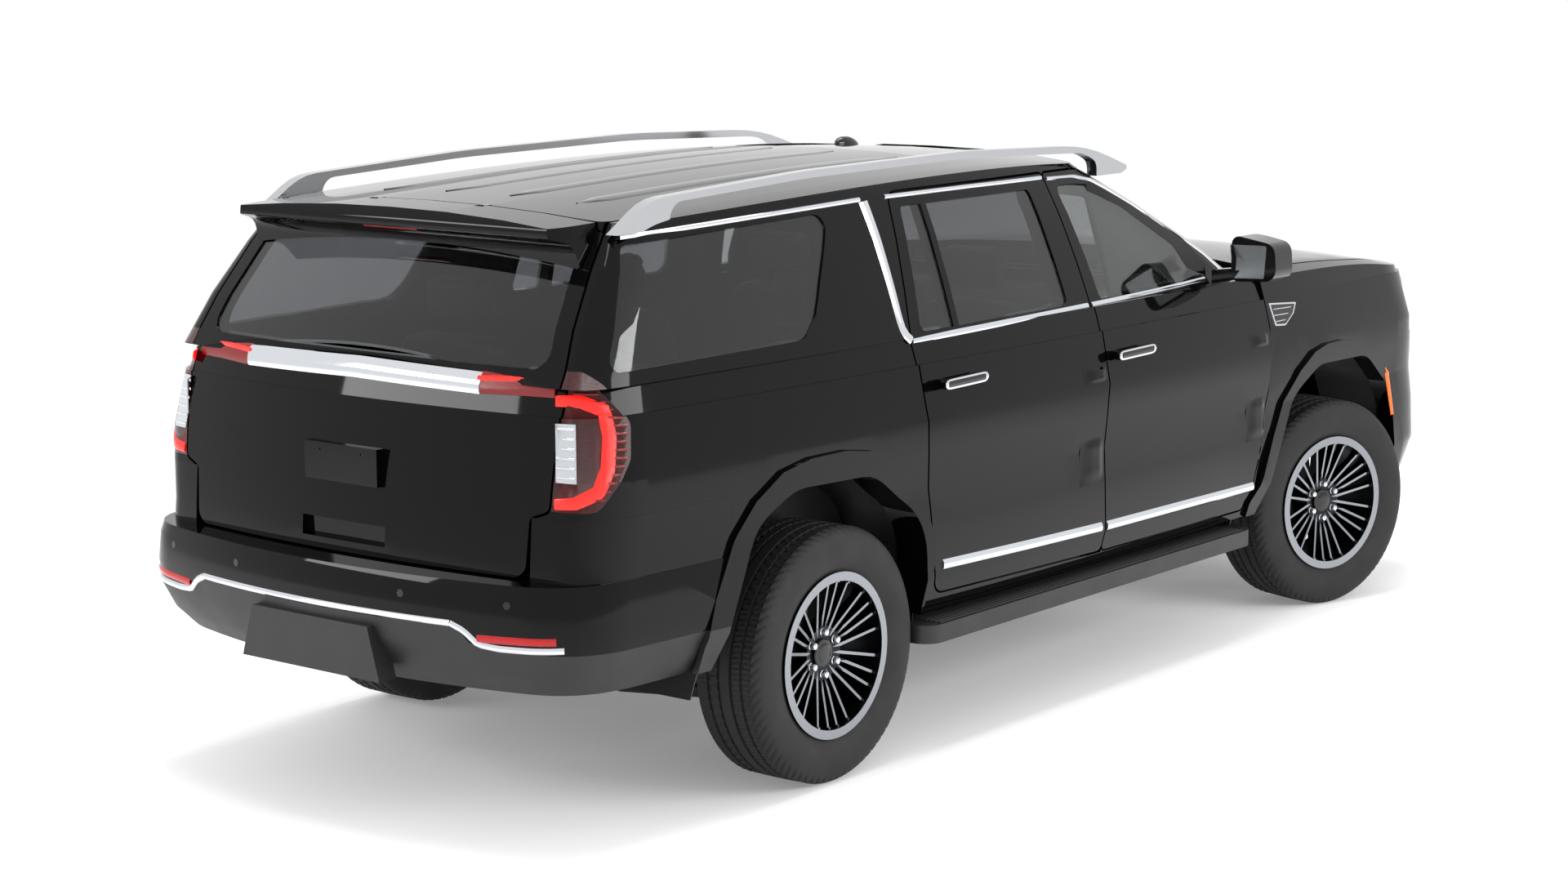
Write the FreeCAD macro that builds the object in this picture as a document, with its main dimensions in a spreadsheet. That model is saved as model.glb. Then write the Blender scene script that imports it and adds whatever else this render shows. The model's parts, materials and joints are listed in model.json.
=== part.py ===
"""Long-wheelbase full-size sport utility vehicle, body on frame.

Row frame: +X forward, +Y left, +Z up, origin on the ground under the middle of
the overall length. Millimetres. The right-hand pieces are modelled and the
left-hand ones are their mirror images.
"""
import FreeCAD, Part
import Sketcher
import math
import os
from FreeCAD import Placement, Rotation, Vector

os.makedirs("parts", exist_ok=True)
doc = FreeCAD.newDocument("suv")

# Driving dimensions
SIZES = [
    ("overall_length", 5720, "bumper to bumper"),
    ("half_width", 1028, "widest point of the door skins from the centre line"),
    ("wheelbase", 3407, "front axle to rear axle"),
    ("front_overhang", 975, "front axle to the front bumper"),
    ("track", 1740, "between the wheel centre planes of one axle"),
    ("sill_z", 470, "underside of the body side"),
    ("shoulder_z", 1305, "crease under the side windows"),
    ("belt_z", 1390, "lower edge of the side windows"),
    ("drip_z", 1872, "upper edge of the side windows"),
    ("roof_z", 1935, "highest point of the roof panel"),
    ("belt_half_width", 956, "half width at the belt"),
    ("drip_half_width", 802, "half width at the upper edge of the windows"),
    ("skin_depth", 25, "depth of a door's outer panel"),
    ("glass_skin_depth", 15, "the same beside the windows"),
    ("wall_depth", 110, "whole thickness of a door"),
    ("glass_wall_depth", 50, "whole thickness of a window frame"),
    ("seal_gap", 20, "between a door's inner face and the pillar"),
    ("pillar_depth", 45, "thickness of a pillar behind the doors"),
    ("shut_gap", 8, "gap round a door, lid or gate"),
    ("step_gap", 6, "between a door's outer panel and the flange behind it"),
    ("flange", 24, "how far a door's inner part is set in from its outline"),
    ("seat_gap", 0.3, "clearance of a seated pane or trim piece"),
    ("glass_thickness", 5, "pane thickness"),
    ("glass_inset", 6, "pane face behind the body skin"),
    ("cowl_x", 1290, "rear edge of the bonnet and front wings"),
    ("roof_split_y", 700, "roof panel edge from the centre line"),
    ("tyre_diameter", 838, "outside of the tyre"),
    ("tyre_width", 275, "section width"),
    ("tread_width", 226, "width of the tread band"),
    ("rim_diameter", 508, "bead seat diameter"),
    ("rim_width", 229, "between the bead seats"),
    ("flange_height", 17.5, "rim flange above the bead seat"),
    ("bead_width", 108, "from the wheel centre plane to the tyre's bead"),
    ("hub_offset", 28, "mounting face outboard of the wheel centre plane"),
    ("hub_bore", 39.2, "radius of the wheel's centre bore"),
    ("steer_rest", -16, "steer angle as parked, positive to the left"),
    ("kingpin_offset", 70, "kingpin inboard of the wheel centre plane"),
    ("arch_stand", 14, "how far the arch moulding stands proud"),
    ("floor_z", 560, "underside of the floor"),
    ("floor_thickness", 40, "floor panel"),
    ("rear_floor_z", 690, "underside of the raised floor over the rear axle"),
    ("rail_y", 430, "chassis rail from the centre line"),
    ("rail_width", 80, "chassis rail section"),
    ("rail_height", 140, "chassis rail section"),
    ("rail_z", 400, "underside of the chassis rails"),
    ("rail_kick", 130, "how far the chassis rails rise over the rear axle"),
    ("board_width", 165, "running board"),
    ("board_height", 62, "running board"),
    ("board_z", 375, "underside of the running board"),
]
sheet = doc.addObject("Spreadsheet::Sheet", "Sizes")
for row, (alias, value, note) in enumerate(SIZES, start=1):
    sheet.set(f"A{row}", note)
    sheet.set(f"B{row}", str(value))
    sheet.setAlias(f"B{row}", alias)
doc.recompute()


class Size:
    """Reads a cell of the sheet by its alias."""

    def __getattr__(self, alias):
        return float(sheet.get(alias))


s = Size()
REAR = -s.overall_length / 2
FRONT = s.overall_length / 2
FRONT_AXLE = FRONT - s.front_overhang
REAR_AXLE = FRONT_AXLE - s.wheelbase
HUB_Z = s.tyre_diameter / 2
WHEEL_Y = s.track / 2
nodes = []


def keep(name, shape, clean=True):
    """Stores a finished shape as a named sub-part of the document."""
    if clean:
        shape = shape.removeSplitter()
    solids = shape.Solids
    body = solids[0] if len(solids) == 1 else Part.makeCompound(solids)
    feature = doc.addObject("Part::Feature", name)
    feature.Label = name
    feature.Shape = body
    nodes.append(feature)
    return body


def mirrored(shape):
    """The left-hand copy of a right-hand shape."""
    return shape.mirror(Vector(0, 0, 0), Vector(0, 1, 0))


def box(x0, x1, y0, y1, z0, z1):
    return Part.makeBox(x1 - x0, y1 - y0, z1 - z0, Vector(x0, y0, z0))


BAR_SIDES = 18


def bar(radius, length, start, axis):
    """A round bar in flat facets, whose corners lie on its circle."""
    axis = Vector(axis).normalize()
    turned = Rotation(Vector(0, 0, 1), axis)
    corners = []
    for k in range(BAR_SIDES + 1):
        angle = math.radians(360 * (k % BAR_SIDES) / BAR_SIDES)
        corners.append(start + turned.multVec(Vector(math.cos(angle), math.sin(angle), 0) * radius))
    return Part.Face(Part.makePolygon(corners)).extrude(axis * length)


def faceted_ring(profile, sides):
    """A ring about the Y axis in flat facets that touch its circles, from (radius, y) corners."""
    reach = 1 / math.cos(math.pi / sides)
    rows = []
    for k in range(sides):
        angle = math.radians(360 * (k + 0.5) / sides - 90)
        rows.append([Vector(r * reach * math.cos(angle), y, r * reach * math.sin(angle))
                     for r, y in profile])
    faces = []
    for k, row in enumerate(rows):
        following = rows[(k + 1) % sides]
        for i in range(len(profile)):
            j = (i + 1) % len(profile)
            corners = [row[i], row[j], following[j], following[i], row[i]]
            faces.append(Part.Face(Part.makePolygon(corners)))
    solid = Part.makeSolid(Part.makeShell(faces))
    if solid.Volume < 0:
        solid.reverse()
    return solid


# Plan outlines stacked into hulls

def plan_wire(z, rear, front, half, rear_bow, front_bow, rear_drop, front_drop,
              rear_corner, front_corner):
    """One closed plan outline: bowed ends, soft corners and slightly bowed sides."""
    def bezier(*poles):
        curve = Part.BezierCurve()
        curve.setPoles([Vector(x, y, z) for x, y in poles])
        return curve.toShape()

    side_rear = (rear + rear_corner[0], half - rear_drop)
    side_front = (front - front_corner[0], half - front_drop)
    run = side_front[0] - side_rear[0]
    rear_ctrl = (side_rear[0] + run / 3, half + rear_drop / 3)
    front_ctrl = (side_front[0] - run / 3, half + front_drop / 3)
    end_rear = (rear + rear_bow, half - rear_drop - rear_corner[1])
    end_front = (front - front_bow, half - front_drop - front_corner[1])

    def arc_slope(bow, half_chord):
        radius = (half_chord ** 2 + bow ** 2) / (2 * bow)
        return half_chord / math.sqrt(radius ** 2 - half_chord ** 2)

    def corner(end, side, control, sign):
        bow = rear_bow if sign < 0 else front_bow
        slope = arc_slope(bow, end[1])
        reach_y = 0.62 * (side[1] - end[1])
        reach_x = 0.62 * abs(side[0] - end[0])
        lean = (control[1] - side[1]) / (control[0] - side[0])
        first = (end[0] - sign * slope * reach_y, end[1] + reach_y)
        second = (side[0] + sign * reach_x, side[1] + sign * reach_x * lean)
        return first, second

    r1, r2 = corner(end_rear, side_rear, rear_ctrl, -1)
    f1, f2 = corner(end_front, side_front, front_ctrl, 1)

    def flip(p):
        return (p[0], -p[1])

    def arc(a, mid, b):
        return Part.Arc(Vector(*a, z), Vector(*mid, z), Vector(*b, z)).toShape()

    edges = [
        arc(flip(end_rear), (rear, 0), end_rear),
        bezier(end_rear, r1, r2, side_rear),
        bezier(side_rear, rear_ctrl, front_ctrl, side_front),
        bezier(side_front, f2, f1, end_front),
        arc(end_front, (front, 0), flip(end_front)),
        bezier(flip(end_front), flip(f1), flip(f2), flip(side_front)),
        bezier(flip(side_front), flip(front_ctrl), flip(rear_ctrl), flip(side_rear)),
        bezier(flip(side_rear), flip(r2), flip(r1), flip(end_rear)),
    ]
    return Part.Wire(edges)


def stack(levels, inset, **plan):
    """Joins plan outlines given as (z, rear, front, half width), set in by inset, level to level."""
    wires = []
    for z, rear, front, half in levels:
        wires.append(plan_wire(z, rear + inset, front - inset, half - inset, **plan))
    return Part.makeLoft(wires, True, True)


made = {}


def once(build):
    """Keeps each hull that has been made, since many pieces share the same ones."""
    def kept(inset):
        key = (build.__name__, inset)
        if key not in made:
            made[key] = build(inset)
        return made[key]
    return kept


LOWER_PLAN = dict(rear_bow=70, front_bow=120, rear_drop=62, front_drop=48,
                  rear_corner=(300, 120), front_corner=(420, 150))
GREEN_PLAN = dict(rear_bow=55, front_bow=150, rear_drop=36, front_drop=46,
                  rear_corner=(230, 90), front_corner=(300, 110))


@once
def lower_hull(inset):
    """Body below the shoulder crease: waist, shoulder and the tuck above the sill."""
    w = s.half_width
    gate = REAR + 130
    top = s.shoulder_z
    levels = [
        (s.sill_z - 120, gate + 40, FRONT - 60, w - 62),
        (s.sill_z, gate + 20, FRONT - 22, w - 40),
        (s.sill_z + 120, gate + 4, FRONT, w - 8),
        (s.sill_z + 300, gate + 2, FRONT - 8, w - 14),
        (s.sill_z + 420, gate + 8, FRONT - 26, w - 20),
        (s.sill_z + 540, gate + 18, FRONT - 48, w - 8),
        (s.sill_z + 650, gate + 30, FRONT - 72, w),
        (top, gate + 54, FRONT - 118, w - 36),
    ]
    return stack(levels, inset, **LOWER_PLAN)


@once
def band_hull(inset):
    """The inset band between the shoulder crease and the belt."""
    gate = REAR + 188
    nose = FRONT - 122
    levels = [
        (s.shoulder_z, gate, nose, s.half_width - 46),
        (s.belt_z, gate + 24, nose - 34, s.belt_half_width),
    ]
    return stack(levels, inset, **LOWER_PLAN)


@once
def green_hull(inset):
    """The greenhouse, from the belt to the crown of the roof."""
    height = s.drip_z - s.belt_z
    lean_rear = 330
    lean_front = 930
    base_front = s.cowl_x + 95
    base_rear = REAR + 205
    base_half = s.belt_half_width - 6
    levels = []
    for t, swell in ((0, 0), (0.33, 7), (0.67, 8), (1, 0)):
        half = base_half - t * (base_half - s.drip_half_width) + swell
        levels.append((s.belt_z + t * height, base_rear + lean_rear * t ** 1.2,
                       base_front - lean_front * t ** 1.12, half))
    lid = [
        (s.drip_z, base_rear + lean_rear, base_front - lean_front, s.drip_half_width),
        (s.roof_z + 60, base_rear + lean_rear + 60, base_front - lean_front - 150,
         s.drip_half_width - 75),
    ]
    solid = stack(levels, inset, **GREEN_PLAN).fuse(stack(lid, inset, **GREEN_PLAN))
    return solid.common(roof_dome(inset))


def under(wires, depth):
    """The volume under a surface that runs straight from curve to curve."""
    strips = [face.extrude(Vector(0, 0, -depth)) for face in Part.makeLoft(wires, False, True).Faces]
    return strips[0].fuse(strips[1:]) if len(strips) > 1 else strips[0]


@once
def roof_dome(inset):
    """Everything under the crowned roof surface, lofted across side curves."""
    crown = s.roof_z - inset
    side = [(REAR + 250, -72), (-1400, -17), (-500, 0), (300, -24), (s.cowl_x + 200, -210)]
    wires = []
    for y, drop in ((-960, 62), (-720, 33), (-480, 14), (-240, 3), (0, 0), (240, 3), (480, 14), (720, 33),
                    (960, 62)):
        curve = Part.BSplineCurve()
        curve.interpolate([Vector(x, y, crown + dz - drop) for x, dz in side])
        wires.append(Part.Wire([curve.toShape()]))
    return under(wires, 1000)


@once
def nose_hull(inset):
    """The volume over the front wheels, from the shoulder to above the bonnet."""
    nose = FRONT - 118
    levels = [
        (s.shoulder_z, REAR + 1800, nose, s.half_width - 46),
        (s.belt_z, REAR + 1800, nose - 34, s.half_width - 66),
        (s.belt_z + 90, REAR + 1800, nose - 90, s.half_width - 130),
    ]
    return stack(levels, inset, **LOWER_PLAN)


@once
def bonnet_dome(inset):
    """Everything under the raised bonnet surface."""
    side = [(s.cowl_x - 200, 1452), (s.cowl_x + 200, 1444), (2150, 1416), (2600, 1352),
            (FRONT + 100, 1240)]
    wires = []
    for y, drop in ((-1000, 72), (-860, 34), (-560, 16), (-280, 5), (0, 0), (280, 5), (560, 16), (860, 34),
                    (1000, 72)):
        curve = Part.BSplineCurve()
        curve.interpolate([Vector(x, y, z - inset - drop) for x, z in side])
        wires.append(Part.Wire([curve.toShape()]))
    return under(wires, 1100)


def layer(depth, glass_depth, next_depth, next_glass_depth):
    """The right-hand body between two depths under its skin, in three storeys."""
    storeys = [
        lower_hull(depth).cut(lower_hull(next_depth)),
        band_hull(depth).cut(band_hull(next_depth)),
        green_hull(glass_depth).cut(green_hull(next_glass_depth)),
    ]
    return [storey.common(right_half) for storey in storeys]


def common(solids, tool):
    return [solid.common(tool) for solid in solids]


def cut(solids, *tools):
    return [solid.cut(list(tools)) for solid in solids]


def fused(solids):
    solids = [solid for shape in solids for solid in shape.Solids]
    return solids[0].fuse(solids[1:]) if len(solids) > 1 else solids[0]


# Flat outlines with rounded corners

def grow(points, distance):
    """Moves each edge of an outline outward by distance, radii following."""
    count = len(points)
    area = sum(points[i][0] * points[(i + 1) % count][1] - points[(i + 1) % count][0] * points[i][1]
               for i in range(count))
    turn = 1 if area > 0 else -1
    lines = []
    for i in range(count):
        (x0, z0), (x1, z1) = points[i][:2], points[(i + 1) % count][:2]
        length = math.hypot(x1 - x0, z1 - z0)
        nx, nz = turn * (z1 - z0) / length, -turn * (x1 - x0) / length
        lines.append((nx, nz, nx * x0 + nz * z0 + distance))
    grown = []
    for i in range(count):
        a, b = lines[i - 1], lines[i]
        det = a[0] * b[1] - a[1] * b[0]
        x = (a[2] * b[1] - b[2] * a[1]) / det
        z = (a[0] * b[2] - b[0] * a[2]) / det
        convex = turn * det > 0
        radius = points[i][2] + (distance if convex else -distance) if points[i][2] else 0
        grown.append((x, z, max(radius, 0)))
    return grown


ROUNDING = 1.0


def outline(points, place):
    """A closed wire through (u, v, corner radius) points, put in space by place(u, v).

    A corner's arc is drawn in short lines, none further than ROUNDING from the arc.
    """
    count = len(points)
    drawn = []
    for i, (x, z, radius) in enumerate(points):
        here = Vector(x, z, 0)
        back = Vector(*points[i - 1][:2], 0) - here
        ahead = Vector(*points[(i + 1) % count][:2], 0) - here
        back_len, ahead_len = back.Length, ahead.Length
        back.normalize()
        ahead.normalize()
        half = back.getAngle(ahead) / 2
        reach = min(radius / math.tan(half), 0.49 * back_len, 0.49 * ahead_len) if radius else 0
        if reach < 0.5:
            drawn.append(here)
            continue
        arc_radius = reach * math.tan(half)
        centre = here + (back + ahead).normalize() * (reach / math.cos(half))
        start, end = here + back * reach - centre, here + ahead * reach - centre
        sweep = math.pi - 2 * half
        step = 2 * math.acos(max(1 - ROUNDING / arc_radius, 0.7))
        pieces = max(math.ceil(sweep / step), 1)
        for k in range(pieces + 1):
            share = k / pieces
            point = (start * math.sin((1 - share) * sweep) + end * math.sin(share * sweep)) / math.sin(sweep)
            drawn.append(centre + point)
    corners = [place(point.x, point.y) for point in drawn]
    return Part.makePolygon(corners + corners[:1])


def prism_y(points, y0, y1):
    """An outline given in (x, z), pushed through from y0 to y1."""
    wire = outline(points, lambda x, z: Vector(x, y0, z))
    return Part.Face(wire).extrude(Vector(0, y1 - y0, 0))


def prism_x(points, x0, x1):
    """An outline given in (y, z), pushed through from x0 to x1."""
    wire = outline(points, lambda y, z: Vector(x0, y, z))
    return Part.Face(wire).extrude(Vector(x1 - x0, 0, 0))


def prism_z(points, z0, z1):
    """An outline given in (x, y), pushed through from z0 to z1."""
    wire = outline(points, lambda x, y: Vector(x, y, z0))
    return Part.Face(wire).extrude(Vector(0, 0, z1 - z0))


def both_sides(points):
    """Closes a right-hand half outline, given from the centre line outward, by its mirror image."""
    return points + [(-u, v, r) for u, v, r in reversed(points)]


def across(points):
    """The same for an outline given in (x, y)."""
    return points + [(u, -v, r) for u, v, r in reversed(points)]


FAR = 1400
B_LOW, B_HIGH = 46, -37
DOOR_TOP = s.drip_z - 12
SILL_LINE = 512

front_door_line = [
    (B_LOW + 4, SILL_LINE, 20), (1085, SILL_LINE - 8, 30), (1200, 750, 260), (1250, 960, 200),
    (1250, 1180, 300), (1228, 1352, 30), (1040, 1474, 60), (655, 1752, 160),
    (420, 1838, 260), (180, DOOR_TOP, 200), (B_HIGH + 4, DOOR_TOP, 15), (B_LOW + 4, s.belt_z, 200),
]
rear_door_line = [
    (-990, SILL_LINE + 20, 60), (B_LOW - 4, SILL_LINE, 20), (B_LOW - 4, s.belt_z, 200),
    (B_HIGH - 4, DOOR_TOP, 15), (-1005, DOOR_TOP - 4, 40), (-1058, s.belt_z, 250),
    (-1050, 1141, 400), (-1012, 820, 400),
]
front_window_line = [
    (B_LOW + 74, s.belt_z + 16, 30), (1015, s.belt_z + 16, 45), (650, 1690, 200),
    (425, 1792, 200), (B_HIGH + 60, 1822, 35),
]
rear_window_line = [
    (-1000, s.belt_z + 16, 25), (B_LOW - 145, s.belt_z + 16, 30), (B_HIGH - 125, 1822, 35),
    (-958, 1816, 30),
]
quarter_window_line = [
    (-2500, 1428, 30), (-1600, 1440, 90), (-1530, 1500, 90), (-1345, 1818, 40),
    (-2296, 1784, 30),
]


def arch_line(axle, rear_low, rear_high, top_rear, top_front, front_high, front_low, top):
    """A wheel opening: slanted at the back, flat-topped, upright at the front."""
    low = s.sill_z - 160
    return [(axle + rear_low, low, 0), (axle + rear_high[0], rear_high[1], 240),
            (axle + top_rear, top, 200), (axle + top_front, top - 8, 210),
            (axle + front_high[0], front_high[1], 220), (axle + front_low, low, 0)]


rear_arch = arch_line(REAR_AXLE, -665, (-392, 905), -215, 175, (462, 790), 468, 992)
front_arch = arch_line(FRONT_AXLE, -800, (-432, 912), -235, 190, (455, 830), 520, 1010)
gate_line = both_sides([(-690, 828, 40), (-716, 858, 30), (-724, 1010, 20),
                        (-790, 1034, 20), (-800, 1330, 30), (-792, 1440, 100),
                        (-700, s.drip_z - 8, 0), (-690, 1980, 0)])


rear_lip = [
    (-700, 0), (-640, 560), (-592, 705), (-503, 866), (-405, 980), (-285, 1055), (-150, 1081),
    (20, 1083), (170, 1062), (280, 1028), (385, 955), (460, 850), (506, 735), (512, 650), (480, 575), (470, 0)]
front_lip = [
    (-800, 0), (-770, 524), (-688, 618), (-605, 770), (-518, 896), (-400, 1002), (-285, 1066),
    (-180, 1087), (-40, 1087), (110, 1064), (268, 1020), (365, 950), (460, 840), (545, 690), (600, 500),
    (600, 0)]


def lip_line(axle, corners):
    return [(axle + x, z, 0) for x, z in corners]


# Layers of the body shared by the panels

right_half = box(REAR - 100, FRONT + 100, -FAR, 0, s.sill_z, 2200)
outer_layer = layer(0, 0, s.skin_depth, s.glass_skin_depth)
inner_layer = layer(s.skin_depth, s.glass_skin_depth, s.wall_depth, s.glass_wall_depth)
rebate_layer = layer(0, 0, s.skin_depth + s.step_gap, s.glass_skin_depth + s.step_gap)
wall_layer = layer(0, 0, s.wall_depth, s.glass_wall_depth)
pane_layer = green_hull(s.glass_inset).cut(green_hull(s.glass_inset + s.glass_thickness))
right_pane_layer = pane_layer.common(right_half)
lower_skin = lower_hull(0)


def through(points, distance=0):
    """A right-hand side outline pushed through the whole half body."""
    return prism_y(grow(points, distance) if distance else points, -FAR, 0)


LIP_SINK = 4
lip_layer = lower_hull(-s.arch_stand).cut(lower_hull(LIP_SINK))


def arch_lip(axle, corners, arch):
    """The moulding round a wheel opening, proud of the skin."""
    room = prism_y(lip_line(axle, corners), -FAR, -700).cut(through(arch))
    return lip_layer.common(room)


roof_line = across([(REAR + 560, -s.roof_split_y, 60), (560, -s.roof_split_y, 60)])
ROOF_LOW = 1790
windscreen_line = both_sides([(-800, s.belt_z - 12, 40), (-655, 1848, 60)])
windscreen_opening = prism_x(windscreen_line, 300, 1500)
A_PILLAR = 62
WINDOW_FRAME = 46


def door_prism(line, distance=0):
    """A door's outline pushed through the side of the body, up to the windscreen pillar."""
    pillar = prism_x(grow(windscreen_line, A_PILLAR - distance), 250, 1500)
    roof = prism_z(grow(roof_line, s.shut_gap - distance), ROOF_LOW - s.shut_gap + distance, 2200)
    return through(line, distance).cut([pillar, roof])


def window_room(line, window, distance=0):
    """A door's window, kept inside the door's own frame along the windscreen pillar."""
    return through(window, distance).common(door_prism(line, distance - WINDOW_FRAME))


def door_shell(line, window):
    """A door: an outer panel, and an inner part set in behind it, round a window opening."""
    outer = common(outer_layer, door_prism(line))
    inner = common(inner_layer, door_prism(line, -s.flange))
    return fused(outer + inner).cut(window_room(line, window))


def door_pane(line, window):
    return right_pane_layer.common(window_room(line, window, -s.seat_gap))


def skin_y(x, z):
    """Where the right-hand body skin lies at a point of the side view."""
    probe = lower_skin.common(Part.makeLine(Vector(x, -FAR, z), Vector(x, 0, z)))
    return probe.BoundBox.YMin


def handle(x, z):
    """A pull handle: a bar on two feet, seated in the door skin."""
    y = skin_y(x, z)
    half_length, half_height, stand = 128, 17, 46
    bar = [(x - half_length, z - half_height, 16), (x + half_length, z - half_height + 4, 16),
           (x + half_length, z + half_height + 4, 16), (x - half_length, z + half_height, 16)]
    solid = prism_y(bar, y - stand, y - stand + 20)
    for foot in (-96, 96):
        solid = solid.fuse(box(x + foot - 18, x + foot + 18, y - stand + 10, y + 15,
                               z - 12, z + 14))
    return solid


# Door hinges: an arm of the body reaches a pin in a room of the door
UP, LEFT = Vector(0, 0, 1), Vector(0, 1, 0)
PIN_RADIUS, PIN_ROOM = 5, 0.3
EYE_RADIUS = 8.5
PIN_DEPTH = 18
ARM_HALF = 22
ROOM_HALF = ARM_HALF + 14
HINGE_LEVELS = (850, 1130)
WIDEST_Z = 1110
FRONT_PIN_X = 1180
REAR_PIN_X = B_LOW - 64


def pin_place(x):
    return x, skin_y(x, WIDEST_Z) + PIN_DEPTH


def with_pins(door, x, ahead):
    """Cuts the rooms of the body's arms over the whole swing, and puts the pins across them."""
    x, y = pin_place(x)
    for z in HINGE_LEVELS:
        door = door.cut([box(x - 16, x + 50, y - 12, y + 120, z - ROOM_HALF, z + ROOM_HALF),
                         box(x - 16, ahead + 12, y + 8, y + 120, z - ROOM_HALF, z + ROOM_HALF)])
        pin = Part.makeCylinder(PIN_RADIUS, 2 * ROOM_HALF + 12, Vector(x, y, z - ROOM_HALF - 6))
        door = door.fuse(pin)
    return door


def hinge_arms(x):
    """The body's arms, from the pillar out to the eyes on the pins."""
    x, y = pin_place(x)
    reach = s.wall_depth + s.seal_gap + 3 - PIN_DEPTH
    arms = []
    for z in HINGE_LEVELS:
        eye = bar(EYE_RADIUS, 2 * ARM_HALF, Vector(x, y, z - ARM_HALF), UP)
        bore = bar(PIN_RADIUS + 2 * PIN_ROOM, 2 * ARM_HALF + 2, Vector(x, y, z - ARM_HALF - 1), UP)
        reach_box = box(x - 8, x + 8, y, y + reach, z - ARM_HALF, z + ARM_HALF)
        arms.append(reach_box.fuse(eye).cut(bore))
    return arms


FRONT_HANDLE = (190, 1218)
REAR_HANDLE = (-870, 1236)
DIVIDER_LOW, DIVIDER_HIGH, DIVIDER_WIDTH = -796, -828, 32
HALF_DIVIDER = DIVIDER_WIDTH / 2
divider_line = [
    (DIVIDER_LOW - HALF_DIVIDER, s.belt_z, 0), (DIVIDER_LOW + HALF_DIVIDER, s.belt_z, 0),
    (DIVIDER_HIGH + HALF_DIVIDER, s.drip_z - 20, 0), (DIVIDER_HIGH - HALF_DIVIDER, s.drip_z - 20, 0),
]
front_door = door_shell(front_door_line, front_window_line).fuse(handle(*FRONT_HANDLE))
divider = common([wall_layer[2]], through(divider_line).common(through(rear_window_line, 5)))
rear_door = door_shell(rear_door_line, rear_window_line).fuse(divider + [handle(*REAR_HANDLE)])
front_pane = door_pane(front_door_line, front_window_line)
rear_panes = door_pane(rear_door_line, rear_window_line).cut(through(divider_line, s.seat_gap))
front_door = with_pins(front_door, FRONT_PIN_X, 1250)
rear_door = with_pins(rear_door, REAR_PIN_X, B_LOW)

# Body side, roof and the fixed panes
sunroof_line = across([(-300, -440, 60), (400, -440, 60)])
lamp_side_line = [
    (REAR - 50, 1034, 0), (-2580, 1034, 40), (-2462, 1180, 60), (-2440, 1285, 30),
    (-2520, 1400, 60), (-2560, 1440, 0), (REAR - 50, 1440, 0),
]
gate_side_line = [
    (REAR - 100, 700, 0), (-2545, 700, 0), (-2545, 1370, 0), (-2500, 1440, 0),
    (-2220, s.drip_z - 20, 0), (-2220, 2100, 0), (REAR - 100, 2100, 0),
]


def gate_prism(distance=0):
    """The room of the tailgate: its rear outline, and how far forward its edges reach."""
    rear_view = prism_x(grow(gate_line, distance) if distance else gate_line, REAR - 100, -2200)
    side_view = prism_y(grow(gate_side_line, distance) if distance else gate_side_line, -FAR, FAR)
    return rear_view.common(side_view)


front_line = [
    (1085 + s.shut_gap, s.sill_z - 5, 0), (1200 + s.shut_gap, 750, 260),
    (1250 + s.shut_gap, 960, 200), (1250 + s.shut_gap, 1180, 300), (1228 + s.shut_gap, 1352, 30),
    (1228 + s.shut_gap, 1500, 0), (2480, 1500, 0), (2480, 900, 0), (2350, 880, 60), (2350, s.sill_z, 0),
]
roof_opening = prism_z(roof_line, ROOF_LOW, 2200)
bumper_zone = box(REAR - 100, REAR_AXLE - 500, -FAR, 0, 0, 1010)
front_zone = prism_y(grow(front_line, s.seat_gap), -FAR, 0).fuse(
    box(2300, FRONT + 100, -FAR, 0, 0, s.belt_z))
lamp_pocket = prism_y(grow(lamp_side_line, s.seat_gap), -FAR, 0).common(
    box(REAR - 100, -2300, -FAR, -780, 0, 2000))
openings = [
    door_prism(front_door_line, -s.step_gap), door_prism(rear_door_line, -s.step_gap),
    through(quarter_window_line), through(rear_arch), roof_opening, windscreen_opening,
    gate_prism(s.shut_gap), front_zone, bumper_zone, lamp_pocket,
]
side_storeys = cut(wall_layer, *openings)
rebates = [storey.common(door_prism(front_door_line, s.shut_gap).fuse(
    door_prism(rear_door_line, s.shut_gap))) for storey in rebate_layer]
STRIP_NEAR, STRIP_FAR = 4, 11
b_swing_line = [
    (B_LOW - 14, SILL_LINE - 8, 0), (B_LOW + STRIP_NEAR, SILL_LINE - 8, 0),
    (B_LOW + STRIP_NEAR, s.belt_z, 0), (B_HIGH + STRIP_NEAR, DOOR_TOP - 12, 0),
    (B_HIGH - 14, DOOR_TOP - 12, 0), (B_LOW - 14, s.belt_z, 0),
]
swing_rooms = [
    through(b_swing_line),
    box(REAR_PIN_X - 25, B_LOW + STRIP_NEAR, -FAR, -700, SILL_LINE - 8, SILL_LINE + 20),
    box(1120, FRONT_PIN_X + 90, -FAR, -700, 735, 1352),
    box(FRONT_PIN_X - 4, FRONT_PIN_X + 12, -FAR, -998, 688, 740),
]
side_storeys = cut(side_storeys, *swing_rooms)
body_side = fused([storey.cut(rebate) for storey, rebate in zip(side_storeys, rebates)])
pillar_layer = layer(s.wall_depth + s.seal_gap, s.glass_wall_depth + s.seal_gap,
                     s.wall_depth + s.seal_gap + s.pillar_depth,
                     s.glass_wall_depth + s.seal_gap + s.pillar_depth)
web_layer = layer(s.skin_depth + s.step_gap, s.glass_skin_depth + s.step_gap,
                  s.wall_depth + s.seal_gap + 1, s.glass_wall_depth + s.seal_gap + 1)
PILLAR_HALF = 75
floor_top = s.floor_z + s.floor_thickness
PILLAR_FOOT = floor_top + s.seat_gap
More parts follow.
